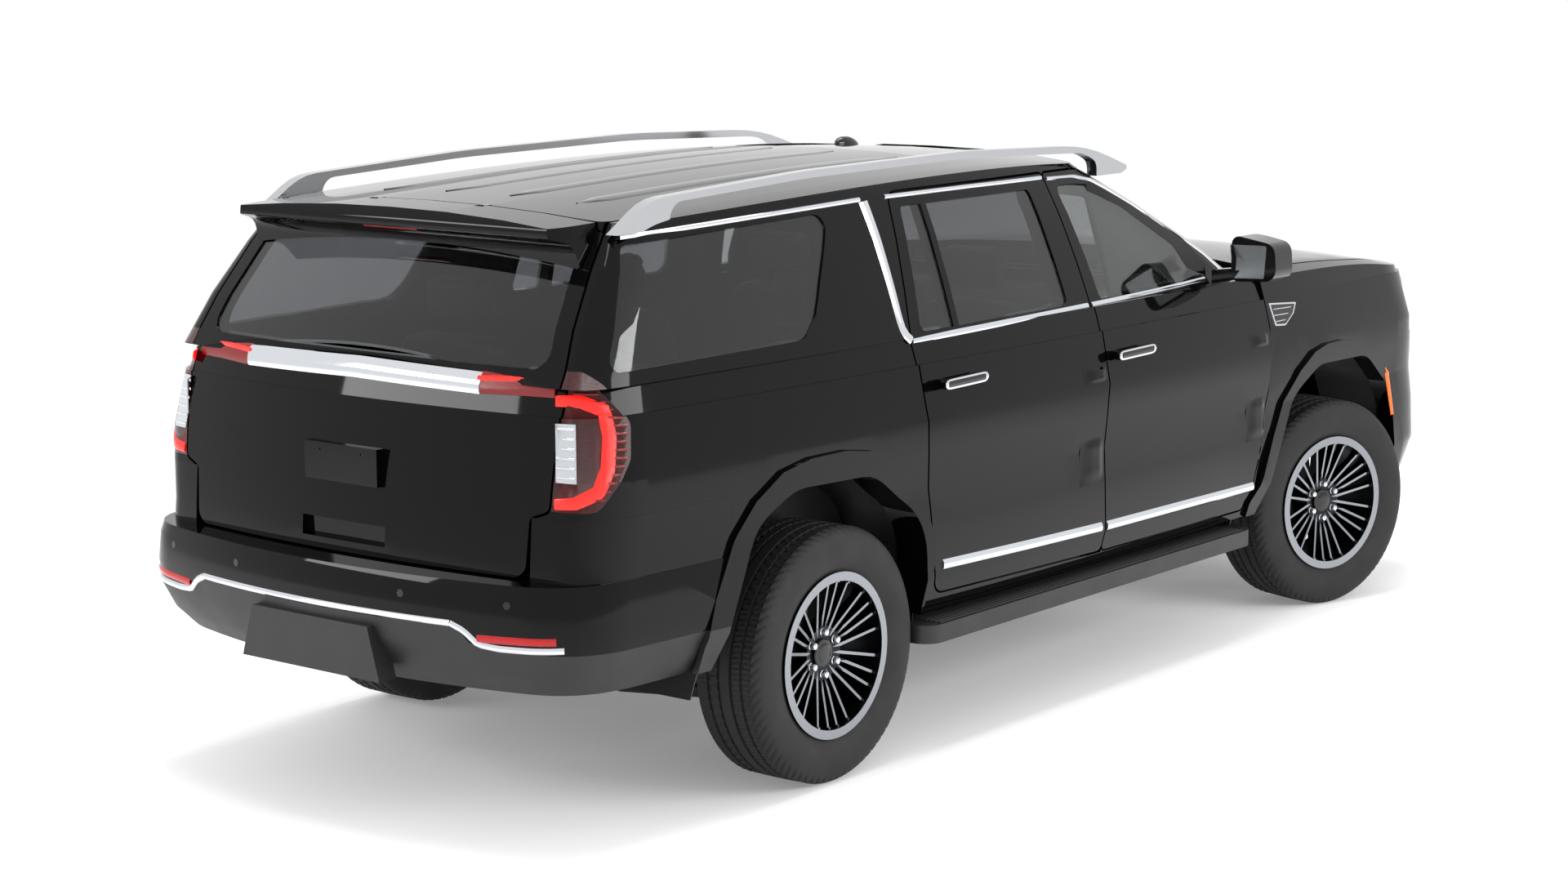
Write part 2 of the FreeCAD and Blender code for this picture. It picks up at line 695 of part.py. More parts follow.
pillar_line = [(B_LOW - PILLAR_HALF, PILLAR_FOOT, 0), (B_LOW + PILLAR_HALF, PILLAR_FOOT, 0),
               (B_LOW + PILLAR_HALF, s.belt_z, 0), (B_HIGH + PILLAR_HALF - 20, DOOR_TOP + 12, 0),
               (B_HIGH - PILLAR_HALF + 20, DOOR_TOP + 12, 0), (B_LOW - PILLAR_HALF, s.belt_z, 0)]
web_line = [(B_LOW + STRIP_NEAR, PILLAR_FOOT, 0), (B_LOW + STRIP_FAR, PILLAR_FOOT, 0),
            (B_LOW + STRIP_FAR, s.belt_z, 0), (B_HIGH + STRIP_FAR, DOOR_TOP + 12, 0),
            (B_HIGH + STRIP_NEAR, DOOR_TOP + 12, 0), (B_LOW + STRIP_NEAR, s.belt_z, 0)]
pillar_side = box(-600, 600, -FAR, -s.roof_split_y, 0, 2000)
b_pillar = fused(common(pillar_layer, through(pillar_line).common(pillar_side))
                 + common(web_layer, through(web_line).common(pillar_side)))
FIREWALL = 1275
hinge_pillar = common(pillar_layer[:2], box(1110, FIREWALL - 62, -FAR, -700, PILLAR_FOOT, 1389))
pillar_webs = common(web_layer[:2], box(1080, 1258, -FAR, -700, PILLAR_FOOT, 735).fuse(
    box(1150, 1258, -FAR, -700, 1353, 1389)))
pillar_webs = cut(pillar_webs, door_prism(front_door_line, -s.step_gap), front_zone)
body_side = body_side.fuse([b_pillar] + hinge_pillar + pillar_webs
                           + hinge_arms(FRONT_PIN_X) + hinge_arms(REAR_PIN_X))
rear_moulding = arch_lip(REAR_AXLE, rear_lip, rear_arch)
side_moulding = rear_moulding.common(box(REAR_AXLE - 500, 0, -FAR, 0, s.sill_z, 1400)).cut(
    through(rear_door_line, s.shut_gap))
body_side = body_side.fuse(side_moulding)
body_side = max(body_side.Solids, key=lambda solid: solid.Volume)

roof_layer = green_hull(0).cut(green_hull(s.glass_wall_depth))
roof = roof_layer.common(prism_z(grow(roof_line, -s.seat_gap), ROOF_LOW, 2200)).cut(
    [prism_z(sunroof_line, 0, 2200), windscreen_opening])
sunroof = pane_layer.common(prism_z(grow(sunroof_line, -s.seat_gap), ROOF_LOW, 2200))
windscreen = pane_layer.common(prism_x(grow(windscreen_line, -s.seat_gap), 300, 1500)).common(
    box(300, 1500, -FAR, FAR, s.belt_z, 1900)).cut(prism_z(roof_line, ROOF_LOW + 100, 2200))
quarter_pane = right_pane_layer.common(through(quarter_window_line, -s.seat_gap))

# Tailgate
gate_storeys = [
    lower_hull(0).cut(lower_hull(s.wall_depth)),
    band_hull(0).cut(band_hull(s.wall_depth)),
    roof_layer,
]
gate_zone = gate_prism()
gate_window_line = both_sides([(-735, 1436, 50), (-655, 1800, 40)])
ROOF_SEAM = REAR + 560
GATE_PIN_X, GATE_PIN_Z = ROOF_SEAM - 30, 1868
GATE_ARM_Y = 230
GATE_ARM_HALF, GATE_ROOM_HALF = 10, 16
roof_cut = box(ROOF_SEAM - 10, 0, -FAR, FAR, 1500, 2200)
gate_rooms = [box(GATE_PIN_X - 16, ROOF_SEAM, y - GATE_ROOM_HALF, y + GATE_ROOM_HALF,
                  GATE_PIN_Z - 38, 2000) for y in (-GATE_ARM_Y, GATE_ARM_Y)]
gate_window = prism_x(gate_window_line, REAR, -2200)
PLATE_FACE = REAR + 136
plate_pad = box(PLATE_FACE, PLATE_FACE + 40, -157, 157, 1043, 1160)
plate_holes = [Part.makeCylinder(3, 16, Vector(PLATE_FACE - 1, y, 1138), Vector(1, 0, 0))
               for y in (-88.9, 88.9)]
handle_slot = box(REAR, REAR + 166, -180, 180, 862, 924)
tailgate = fused(common(gate_storeys, gate_zone)).cut([gate_window, roof_cut, handle_slot] + gate_rooms)
tailgate = tailgate.fuse(plate_pad).cut(plate_holes)
roof_arms = []
for y in (-GATE_ARM_Y, GATE_ARM_Y):
    start = Vector(GATE_PIN_X, y - GATE_ARM_HALF, GATE_PIN_Z)
    eye = bar(10, 2 * GATE_ARM_HALF, start, LEFT)
    bore = bar(PIN_RADIUS + 2 * PIN_ROOM, 2 * GATE_ARM_HALF, start, LEFT)
    lever = box(GATE_PIN_X, ROOF_SEAM + 12, y - GATE_ARM_HALF, y + GATE_ARM_HALF,
                GATE_PIN_Z - 10, GATE_PIN_Z + 8)
    roof_arms.append(lever.fuse(eye).cut(bore))
roof = roof.fuse(roof_arms)
gate_pane = pane_layer.common(prism_x(grow(gate_window_line, -s.seat_gap), REAR, -2200)).cut(roof_cut)

# Front wings and bonnet
FENDER_DEPTH = 60
bonnet_line = across([(1470, -520, 500), (s.cowl_x + 62, -868, 60), (2120, -872, 600),
                      (2480, -835, 300), (2720, -700, 90)])
BONNET_DEPTH = 38
front_solid = lower_hull(0).fuse(nose_hull(0)).common(bonnet_dome(0))
front_inner = lower_hull(FENDER_DEPTH).fuse(nose_hull(FENDER_DEPTH)).common(bonnet_dome(FENDER_DEPTH))
front_shell = front_solid.cut(front_inner)
bonnet = front_solid.cut(bonnet_dome(BONNET_DEPTH)).common(prism_z(bonnet_line, 1000, 1600))
bonnet_room = prism_z(grow(bonnet_line, s.shut_gap), 900, 1700).cut(
    bonnet_dome(BONNET_DEPTH + s.shut_gap))
HOOD_PIN_X, HOOD_PIN_Z = 1310, 1376
HOOD_ARM_Y, HOOD_ARM_HALF = 740, 12
HOOD_PIN_RADIUS = 8
hood_arms = []
hood_bores = []
for y in (-HOOD_ARM_Y, HOOD_ARM_Y):
    start = Vector(HOOD_PIN_X, y - HOOD_ARM_HALF, HOOD_PIN_Z)
    hood_arms.append(box(HOOD_PIN_X, 1420, y - HOOD_ARM_HALF, y + HOOD_ARM_HALF, 1364, 1390))
    hood_arms.append(bar(13, 2 * HOOD_ARM_HALF, start, LEFT))
    hood_bores.append(bar(HOOD_PIN_RADIUS + 2 * PIN_ROOM, 2 * HOOD_ARM_HALF, start, LEFT))
bonnet = bonnet.fuse(hood_arms).cut(hood_bores)
fender = front_shell.common(right_half).common(prism_y(front_line, -FAR, 0)).cut(
    [bonnet_room, through(front_arch), box(1000, 3000, -760, 0, 0, 1700),
     box(1000, 1400, -876, 0, 1200, 1700)])
front_moulding = arch_lip(FRONT_AXLE, front_lip, front_arch)
fender_moulding = front_moulding.common(box(0, 2350, -FAR, 0, s.sill_z, 1400)).common(
    prism_y(front_line, -FAR, 0))
fender = fender.fuse(fender_moulding)
fender = max(fender.Solids, key=lambda solid: solid.Volume)
bumper_moulding = front_moulding.common(box(2350 + s.seat_gap, 2600, -FAR, 0, s.sill_z, 1400))
grille_line = both_sides([(-690, 780, 60), (-690, 1262, 60)])
headlamp_line = [(-712, 1010, 30), (-712, 1262, 30), (-1100, 1262, 0), (-1100, 1075, 0)]
headlamp_side_line = [(2900, 1000, 0), (2900, 1262, 0), (2500, 1262, 30), (2560, 1000, 30)]
bumper_front = front_shell.common(prism_y([
    (2350 + s.seat_gap, 430, 0), (2350 + s.seat_gap, 880, 60), (2480 + s.seat_gap, 900, 0),
    (2480 + s.seat_gap, 1500, 0), (2950, 1500, 0), (2950, 430, 60)], -FAR, FAR))
headlamp_room = prism_x(headlamp_line, 2300, 2950).common(prism_y(headlamp_side_line, -FAR, 0))
grille_room = prism_x(grille_line, 2500, 2950)
bumper_front = bumper_front.cut([bonnet_room, grille_room, headlamp_room, mirrored(headlamp_room),
                                 through(front_arch), mirrored(through(front_arch))])
bumper_front = bumper_front.fuse([bumper_moulding, mirrored(bumper_moulding)])
bumper_front = max(bumper_front.Solids, key=lambda solid: solid.Volume)
headlamp = lower_hull(4).cut(lower_hull(84)).common(headlamp_room)
grille_shell = lower_hull(16).cut(lower_hull(50)).common(prism_x(grow(grille_line, -s.seat_gap), 2500, 2950))
grille_bars = [prism_x(both_sides([(-690, 780, 60), (-690, 1262, 60)]), 2500, 2950).cut(
    prism_x(grow(grille_line, -28), 2400, 2960))]
for row in range(7):
    z = 822 + row * 60
    grille_bars.append(box(2500, 2950, -680, 680, z, z + 26))
for column in (-340, 0, 340):
    grille_bars.append(box(2500, 2950, column - 10, column + 10, 790, 1250))
grille = grille_shell.common(fused(grille_bars))

# Rear bumper, its lower cover and the lamps
BUMPER_TOP, BUMPER_LOW = 822, 478
BUMPER_WALL = 30
BUMPER_PLAN = dict(LOWER_PLAN, rear_bow=95, rear_corner=(380, 200))
bumper_levels = [
    (BUMPER_LOW, REAR + 92, FRONT - 60, s.half_width - 62),
    (540, REAR + 40, FRONT - 60, s.half_width - 30),
    (620, REAR + 8, FRONT - 60, s.half_width - 6),
    (700, REAR, FRONT - 60, s.half_width - 2),
    (790, REAR + 4, FRONT - 60, s.half_width - 12),
    (BUMPER_TOP, REAR + 16, FRONT - 60, s.half_width - 16),
]
bumper_solid = stack(bumper_levels, 0, **BUMPER_PLAN)
bumper_cavity = stack([(z if z < BUMPER_TOP else BUMPER_TOP - BUMPER_WALL, *rest)
                       for z, *rest in bumper_levels if z != 790], BUMPER_WALL, **BUMPER_PLAN)
behind_arch = box(REAR - 100, REAR_AXLE - 500 - s.seat_gap, -FAR, FAR, 0, 2000)
cover = bumper_solid.cut([bumper_cavity, lower_hull(BUMPER_WALL)]).common(behind_arch)
corner = lower_hull(0).cut(lower_hull(BUMPER_WALL)).common(
    box(REAR - 100, REAR_AXLE - 500 - s.seat_gap, -FAR, -732, BUMPER_TOP, 1010 - s.seat_gap))
arch_cuts = [through(rear_arch), mirrored(through(rear_arch))]
cover = cover.fuse([corner, mirrored(corner)]).cut(arch_cuts)
cover_moulding = rear_moulding.common(
    box(REAR - 100, REAR_AXLE - 500 - s.seat_gap, -FAR, 0, BUMPER_LOW, 1400))
cover = cover.fuse([cover_moulding, mirrored(cover_moulding)])
hitch_line = both_sides([(-300, 488, 0), (-252, 653, 0)])
hitch_boss = prism_x(hitch_line, REAR - 12, REAR + 60)
cover = cover.fuse(hitch_boss)
valance_line = both_sides([(-1200, 300, 0), (-1200, 585, 0), (-930, 618, 20), (-600, 640, 10),
                           (-555, 690, 10)])
rear_bumper = cover.cut(prism_x(grow(valance_line, s.seat_gap), REAR - 100, -1900))
valance = cover.common(prism_x(valance_line, REAR - 100, -1900))
lamp_zone = prism_y(lamp_side_line, -FAR, 0).common(box(REAR - 100, -2300, -FAR, -780 - s.seat_gap, 0, 2000))
tail_lamp = fused(common(wall_layer, lamp_zone)).cut(gate_prism(s.shut_gap))

# Roof rails and the rear spoiler
rail_outer = [
    (-2325, 1815, 0), (-2170, 1912, 260), (-1400, 1952, 2500), (-500, 1966, 2500), (260, 1944, 1500),
    (560, 1850, 60), (500, 1830, 0),
]
rail_width = 42
rail = prism_y(rail_outer, -778, -778 + rail_width).cut(green_hull(-s.seat_gap))
rail_gap = [(-2080, 1700, 0), (-2080, 1895, 60), (-1400, 1928, 2500), (-500, 1941, 2500), (240, 1918, 900),
            (330, 1880, 40), (330, 1700, 0)]
rail = rail.cut(prism_y(rail_gap, -900, -600))
rail = max(rail.Solids, key=lambda solid: solid.Volume)
SPOILER_FRONT = GATE_PIN_X + 12
spoiler_side = [(SPOILER_FRONT, 1700, 0), (SPOILER_FRONT, 2000, 0), (-2420, 2000, 0),
                (-2505, 1838, 12), (-2505, 1812, 10), (-2420, 1790, 60), (-2395, 1700, 0)]
spoiler_room = prism_y(spoiler_side, -730, 730)
spoiler_top = stack([(1700, -2620, 200, 740), (1900, -2620, 200, 712)], 0, **GREEN_PLAN)
spoiler = spoiler_room.common(roof_dome(-2)).common(spoiler_top).cut(green_hull(-s.seat_gap))
side_room = green_hull(-6).fuse(box(GATE_PIN_X - 12, 0, -FAR, FAR, 1600, 2100))
spoiler = spoiler.cut([side_room.common(box(-3000, 0, y, y + 700, 1600, 2100)) for y in (-1392, 692)])
spoiler = spoiler.cut(gate_rooms)
spoiler = max(spoiler.Solids, key=lambda solid: solid.Volume)
for y in (-GATE_ARM_Y, GATE_ARM_Y):
    spoiler = spoiler.fuse(Part.makeCylinder(
        PIN_RADIUS, 2 * GATE_ROOM_HALF + 12, Vector(GATE_PIN_X, y - GATE_ROOM_HALF - 6, GATE_PIN_Z), Vector(0, 1, 0)))

# Mirrors
mirror_head = prism_x([(-1040, 1412, 30), (-1232, 1424, 45), (-1222, 1560, 45), (-1040, 1590, 30)],
                      868, 1010)
mirror_face = prism_z([(868, -1300, 0), (868, -1000, 0), (960, -1000, 40), (1012, -1110, 60),
                       (985, -1300, 60)], 1380, 1620)
mirror_arm = prism_x([(-1060, 1420, 10), (-930, 1392, 0), (-930, 1445, 0), (-1060, 1462, 10)],
                     915, 985)
mirror = mirror_head.common(mirror_face).fuse(mirror_arm)
mirror = mirror.cut([band_hull(-s.seat_gap), green_hull(-s.seat_gap)])
mirror = max(mirror.Solids, key=lambda solid: solid.Volume)

# Frame and floor
TRACK_IN = 505
KICK_FRONT, KICK_REAR = -1080, -1290
rail_top = s.rail_z + s.rail_height
frame_side = [
    (2560, s.rail_z + 40, 0), (2560, rail_top, 0), (KICK_FRONT, rail_top, 120),
    (KICK_REAR, rail_top + s.rail_kick, 120), (-2640, rail_top + s.rail_kick, 0),
    (-2640, s.rail_z + s.rail_kick + 40, 0), (KICK_REAR - 60, s.rail_z + s.rail_kick, 120),
    (KICK_FRONT - 60, s.rail_z, 120), (2300, s.rail_z, 200),
]
rail_in, rail_out = s.rail_y - s.rail_width / 2, s.rail_y + s.rail_width / 2
chassis_rail = prism_y(frame_side, -rail_out, -rail_in)
members = [chassis_rail, mirrored(chassis_rail)]


def crossmember(x, base):
    return box(x - 40, x + 40, -rail_in - 5, rail_in + 5, base + 65, base + 130)


def body_mount(x, y, base, top):
    return bar(34, top - base - s.rail_height + 5, Vector(x, y, base + s.rail_height - 5),
               Vector(0, 0, 1))


for x, base, floor_under in ((2520, s.rail_z, 0), (2180, s.rail_z, 0), (480, s.rail_z, s.floor_z),
                             (-560, s.rail_z, s.floor_z),
                             (-2300, s.rail_z + s.rail_kick, s.rear_floor_z)):
    members.append(crossmember(x, base))
    if floor_under:
        for y in (-s.rail_y, s.rail_y):
            members.append(body_mount(x, y, base, floor_under - s.seat_gap))
CRADLE_HALF, CRADLE_X = 25, 215
CRADLE_LOW, CRADLE_TOP = 290, 365
kicked_rail_z = s.rail_z + s.rail_kick
for offset in (-CRADLE_X, CRADLE_X):
    x0, x1 = REAR_AXLE + offset - CRADLE_HALF, REAR_AXLE + offset + CRADLE_HALF
    members.append(box(x0, x1, -rail_out, rail_out, CRADLE_LOW, CRADLE_TOP))
    for y0 in (-rail_out, rail_in):
        members.append(box(x0, x1, y0, y0 + s.rail_width, CRADLE_TOP - 5, kicked_rail_z + 30))
chassis = fused(members)

floor_hull = lower_hull(s.wall_depth + s.seat_gap)
rear_floor_top = s.rear_floor_z + s.floor_thickness
STEP_X = -1000
floor_side = [
    (FIREWALL + 25, s.floor_z, 0), (FIREWALL + 25, s.shoulder_z, 0), (FIREWALL, s.shoulder_z, 0),
    (FIREWALL, floor_top, 60), (STEP_X + 40, floor_top, 0), (STEP_X + 40, rear_floor_top, 0),
    (-2600, rear_floor_top, 0), (-2600, BUMPER_TOP - 20, 0), (-2640, BUMPER_TOP - 20, 0),
    (-2640, s.rear_floor_z, 0), (STEP_X, s.rear_floor_z, 0), (STEP_X, s.floor_z, 0),
]
floor_plate = floor_hull.common(prism_y(floor_side, -FAR, FAR))
cowl = box(FIREWALL, FIREWALL + 25, -780, 780, s.shoulder_z - 5, s.belt_z - 30)
shelf_top = s.belt_z - 40
shelf = prism_z(across([(FIREWALL - 60, -790, 0), (1332, -790, 0), (1395, -560, 300)]), shelf_top - 20, shelf_top)
ears = []
for side in (-1, 1):
    for gap in (-1, 1):
        inner = side * HOOD_ARM_Y + gap * (HOOD_ARM_HALF + PIN_ROOM)
        outer = inner + gap * 14
        y0, y1 = min(inner, outer), max(inner, outer)
        ears.append(box(HOOD_PIN_X - 16, HOOD_PIN_X + 14, y0, y1, shelf_top - 5, HOOD_PIN_Z + 12))
    ears.append(Part.makeCylinder(HOOD_PIN_RADIUS, 2 * HOOD_ARM_HALF + 16,
                                  Vector(HOOD_PIN_X, side * HOOD_ARM_Y - HOOD_ARM_HALF - 8, HOOD_PIN_Z),
                                  Vector(0, 1, 0)))
HOUSING = 14
HOUSING_IN = 672
housings = []
for arch, inner, outer, low in ((rear_arch, HOUSING_IN, s.half_width - 125, s.rear_floor_z),
                                (front_arch, TRACK_IN, s.half_width - 100, 700)):
    arch_band = prism_y(grow(arch, HOUSING), -outer, -inner + HOUSING)
    hollow = prism_y(arch, -outer - 10, -inner)
    housings.append(arch_band.cut(hollow).common(box(REAR, FRONT, -FAR, 0, low, 1400)))
rear_housing = housings[0].common(floor_hull)
front_housing = housings[1].common(box(1180, 2420, -FAR, 0, 0, 1400)).common(
    lower_hull(FENDER_DEPTH + s.seat_gap))
front_room = prism_y(front_arch, -FAR, -TRACK_IN)
rear_room = prism_y(rear_arch, -FAR, -HOUSING_IN)
door_corner_room = box(REAR_PIN_X - 60, REAR_PIN_X + 30, -FAR, -888, s.floor_z - 5, floor_top + 5)
floor_plate = floor_plate.cut([door_corner_room, mirrored(door_corner_room)])
floor = fused([floor_plate, cowl, shelf] + ears)
floor = floor.cut([front_room, rear_room, mirrored(front_room), mirrored(rear_room)])
floor = fused([floor, rear_housing, mirrored(rear_housing), front_housing, mirrored(front_housing)])
floor = max(floor.Solids, key=lambda solid: solid.Volume)

# Running boards
BOARD_REAR = REAR_AXLE + HUB_Z + 20
board_plan = [(BOARD_REAR, -865, 20), (BOARD_REAR, -1048, 70), (1105, -1048, 110), (1105, -865, 20)]
board = prism_z(board_plan, s.board_z, s.board_z + s.board_height)
for x in (-850, 0, 850):
    board = board.fuse(box(x - 30, x + 30, -880, -rail_out - s.seat_gap, s.rail_z + 5, s.rail_z + 40))
boards = [board, mirrored(board)]

# Cabin
def seat(x, y0, y1, floor_level):
    """A seat: a base, a cushion, a leaning back and a head restraint."""
    base = box(x - 230, x + 180, y0 + 60, y1 - 60, floor_level + s.seat_gap, 760)
    cushion = prism_y([(x - 270, 690, 30), (x + 260, 690, 60), (x + 285, 850, 60), (x + 60, 835, 300),
                       (x - 250, 800, 40)], y0, y1).common(
        box(x - 400, x + 400, y0, y1, floor_level + s.seat_gap, 1700))
    back = prism_y([(x - 270, 760, 40), (x - 130, 790, 40), (x - 260, 1390, 50), (x - 355, 1380, 40)],
                   y0 + 10, y1 - 10)
    centre = (y0 + y1) / 2
    head = prism_y([(x - 350, 1420, 30), (x - 255, 1425, 30), (x - 275, 1570, 40), (x - 360, 1560, 40)],
                   centre - 125, centre + 125)
    posts = prism_y([(x - 322, 1350, 0), (x - 302, 1350, 0), (x - 312, 1440, 0), (x - 332, 1440, 0)],
                    centre - 60, centre + 60)
    return fused([base, cushion, back, head, posts])


front_seats = [seat(330, -700, -200, floor_top), seat(330, 200, 700, floor_top)]
second_row = [seat(-640, -690, -190, floor_top), seat(-640, 190, 690, floor_top)]
third_row = [seat(-1560, -610, 0, rear_floor_top).fuse(seat(-1560, -5, 610, rear_floor_top))]
dash = prism_y([(860, 1020, 60), (FIREWALL - s.seat_gap, 980, 0), (FIREWALL - s.seat_gap, 1300, 40),
                (960, 1310, 90)], -790, 790)
console = box(200, 1100, -120, 120, floor_top + s.seat_gap, 900)
stack_panel = box(1000, 1120, -120, 120, 850, 1060)
dash = dash.fuse([console, stack_panel])
wheel_axis = Vector(-math.cos(math.radians(25)), 0, math.sin(math.radians(25)))
wheel_centre = Vector(745, 450, 1165)
RIM_GRIP = 15
steering = faceted_ring([(182 + RIM_GRIP * math.cos(math.radians(a)), RIM_GRIP * math.sin(math.radians(a)))
                         for a in range(0, 360, 60)], 32)
steering.Placement = Placement(wheel_centre, Rotation(Vector(0, 1, 0), wheel_axis))
steering = steering.fuse([
    bar(62, 34, wheel_centre - wheel_axis * 30, wheel_axis),
    bar(26, 130, wheel_centre - wheel_axis * 150, wheel_axis),
    box(740, 752, 450 - 175, 450 + 175, 1145, 1185),
])
steering = steering.cut(dash)
steering = max(steering.Solids, key=lambda solid: solid.Volume)

# Power unit and underside
SHAFT_Z = HUB_Z
engine = box(1380, 2080, -300, 300, 480, 1200)
for mount_x in (1500, 1900):
    engine = engine.fuse(box(mount_x, mount_x + 80, -rail_in + s.seat_gap, rail_in - s.seat_gap, 485, 530))
gearbox = bar(130, 740 - s.seat_gap, Vector(640, 0, SHAFT_Z + 8), Vector(1, 0, 0))
shaft = bar(36, 2100, Vector(-1420, 0, SHAFT_Z), Vector(1, 0, 0))
differential = bar(120, 240, Vector(REAR_AXLE, -120, HUB_Z), Vector(0, 1, 0))
mount_reach = CRADLE_X - CRADLE_HALF - s.seat_gap
differential = differential.fuse(box(REAR_AXLE - mount_reach, REAR_AXLE + mount_reach, -50, 50, 320, CRADLE_TOP))
FLANGE_RADIUS, FLANGE_WIDTH = 78, 14
HUB_RADIUS = 46
half_shaft_end = WHEEL_Y - 90
half_shafts = bar(26, 2 * half_shaft_end, Vector(REAR_AXLE, -half_shaft_end, HUB_Z), Vector(0, 1, 0))
driveline = fused([gearbox, shaft, differential, half_shafts])
tank = prism_z([(-950, -380, 60), (-350, -380, 60), (-350, -60, 60), (-950, -60, 60)],
               290, s.rail_z + 65 - s.seat_gap)
silencer = prism_z([(-1000, 120, 60), (-400, 120, 60), (-400, 370, 60), (-1000, 370, 60)],
                   320, s.rail_z + 65 - s.seat_gap)
exhaust = fused([silencer, bar(38, 1900, Vector(-450, 230, 370), Vector(1, 0, 0)),
                 bar(38, 110 - s.seat_gap, Vector(1420, 230, 370), Vector(0, 0, 1))])

# Wheels, hubs and arms, drawn about the hub of a right-hand wheel that points straight ahead


def sheet_sketch(body, name, plane, points):
    """A closed profile whose corners are placed by expressions of the sheet."""
    sketch = body.newObject("Sketcher::SketchObject", name)
    origin = next(f for f in body.Origin.OriginFeatures if f.Role == plane)
    sketch.AttachmentSupport = [(origin, "")]
    sketch.MapMode = "FlatFace"
    places = [Vector(float(sketch.evalExpression(u)), float(sketch.evalExpression(v)), 0)
              for u, v in points]
    count = len(points)
    for i in range(count):
        sketch.addGeometry(Part.LineSegment(places[i], places[(i + 1) % count]))
    for i in range(count):
        sketch.addConstraint(Sketcher.Constraint("Coincident", i, 2, (i + 1) % count, 1))
    for i, (u, v) in enumerate(points):
        for kind, place, expression in (("DistanceX", places[i].x, u), ("DistanceY", places[i].y, v)):
            index = sketch.addConstraint(Sketcher.Constraint(kind, -1, 1, i, 1, place))
            sketch.setExpression(f"Constraints[{index}]", expression)
    return sketch


WHEEL_SIDES = 60
bead_seat, flange_top = s.rim_diameter / 2, s.rim_diameter / 2 + s.flange_height
tyre_edge, rim_edge = s.tyre_diameter / 2, s.rim_width / 2
tyre_half, tread_half = s.tyre_width / 2, s.tread_width / 2
tyre = faceted_ring([
    (bead_seat + s.seat_gap, -s.bead_width), (bead_seat + 14, 3 - rim_edge), (tyre_edge - 88, -tyre_half),
    (tyre_edge - 20, 9 - tyre_half), (tyre_edge, 12 - tread_half), (tyre_edge, tread_half - 12),
    (tyre_edge - 20, tyre_half - 9), (tyre_edge - 88, tyre_half), (bead_seat + 14, rim_edge - 3),
    (bead_seat + s.seat_gap, s.bead_width),
], WHEEL_SIDES)

SPOKE_GROUPS = 6
rim_body = doc.addObject("PartDesign::Body", "rim_profile")


def polar_point(radius, angle):
    """Expressions of a point of the wheel's face, by radius and degrees from a group's middle."""
    return (f"({radius}) * cos({angle + 90}deg)", f"({radius}) * sin({angle + 90}deg)")


def spoke(index, inner, outer):
    """One spoke, padded outward: its ends are given as (radius, angle) at both of its sides."""
    (r0, a0), (r1, a1) = inner, outer
    half_in, half_out = 5.2 / r0, 4.4 / r1
    corners = [(r0, a0 - math.degrees(half_in)), (r1, a1 - math.degrees(half_out)),
               (r1, a1 + math.degrees(half_out)), (r0, a0 + math.degrees(half_in))]
    sketch = sheet_sketch(rim_body, f"spoke_{index}", "XZ_Plane",
                          [polar_point(r, round(a, 3)) for r, a in corners])
    pad = rim_body.newObject("PartDesign::Pad", f"spoke_pad_{index}")
    pad.Profile = sketch
    pad.Type = 0
    pad.setExpression("Length", "Sizes.rim_width / 2")
    doc.recompute()
    return pad


HUB_SIDES = 24
hub_sketch = sheet_sketch(rim_body, "hub_outline", "XZ_Plane",
                          [polar_point(88, 360 * k / HUB_SIDES) for k in range(HUB_SIDES)])
hub_pad = rim_body.newObject("PartDesign::Pad", "hub_pad")
hub_pad.Profile = hub_sketch
hub_pad.setExpression("Length", "Sizes.rim_width / 2")
doc.recompute()
pads = []
for index, (inner, outer) in enumerate((((60, -9), (243, -5.5)), ((60, 9), (243, 5.5)),
                                        ((60, 24), (243, 19)), ((60, 36), (243, 41)))):
    pads.append(spoke(index, inner, outer))
spokes = rim_body.newObject("PartDesign::PolarPattern", "spoke_groups")
spokes.Originals = pads
spokes.Axis = (rim_body.Origin.OriginFeatures[1], [""])
spokes.Angle = 360
spokes.Occurrences = SPOKE_GROUPS
rim_body.Tip = spokes
doc.recompute()


barrel = faceted_ring([
    (bead_seat - 17, rim_edge + 12), (flange_top, rim_edge + 12), (flange_top, rim_edge + 4),
    (bead_seat, rim_edge - 6), (bead_seat, 6 - rim_edge), (flange_top, -4 - rim_edge),
    (flange_top, -12 - rim_edge), (bead_seat - 12, -12 - rim_edge),
], WHEEL_SIDES)
dish_front = faceted_ring([(20, -64), (58, -64), (bead_seat - 18, 6 - rim_edge),
                           (bead_seat - 18, -20 - rim_edge), (20, -20 - rim_edge)], WHEEL_SIDES)
dish_back = faceted_ring([(20, -28), (95, -28), (bead_seat - 40, -72), (bead_seat - 8, -72),
                          (bead_seat - 8, 20), (20, 20)], WHEEL_SIDES)
bore = faceted_ring([(10, 30), (s.hub_bore, 30), (s.hub_bore, -160), (10, -160)], HUB_SIDES)
core = bar(15, 190, Vector(0, 30, 0), Vector(0, -1, 0))
rim = rim_body.Shape.cut([dish_front, dish_back, bore, core]).fuse(barrel)
KINGPIN_Y = WHEEL_Y - s.kingpin_offset
BALL_LOW, BALL_HIGH = 268, 585
BALL_PIN, BALL_PIN_REACH = 10, 20
PILOT = 9
OUT = Vector(0, -1, 0)


def hub(reach):
    """Flange, pilot and barrel of a wheel bearing, about a right-hand hub at the origin."""
    face = -s.hub_offset + s.seat_gap
    flange = bar(FLANGE_RADIUS, FLANGE_WIDTH, Vector(0, face + FLANGE_WIDTH, 0), OUT)
    pilot = Part.makeCylinder(s.hub_bore - s.seat_gap, PILOT + FLANGE_WIDTH,
                              Vector(0, face + FLANGE_WIDTH, 0), OUT)
    carrier = bar(HUB_RADIUS, reach, Vector(0, face + reach, 0), OUT)
    return flange.fuse([pilot, carrier])


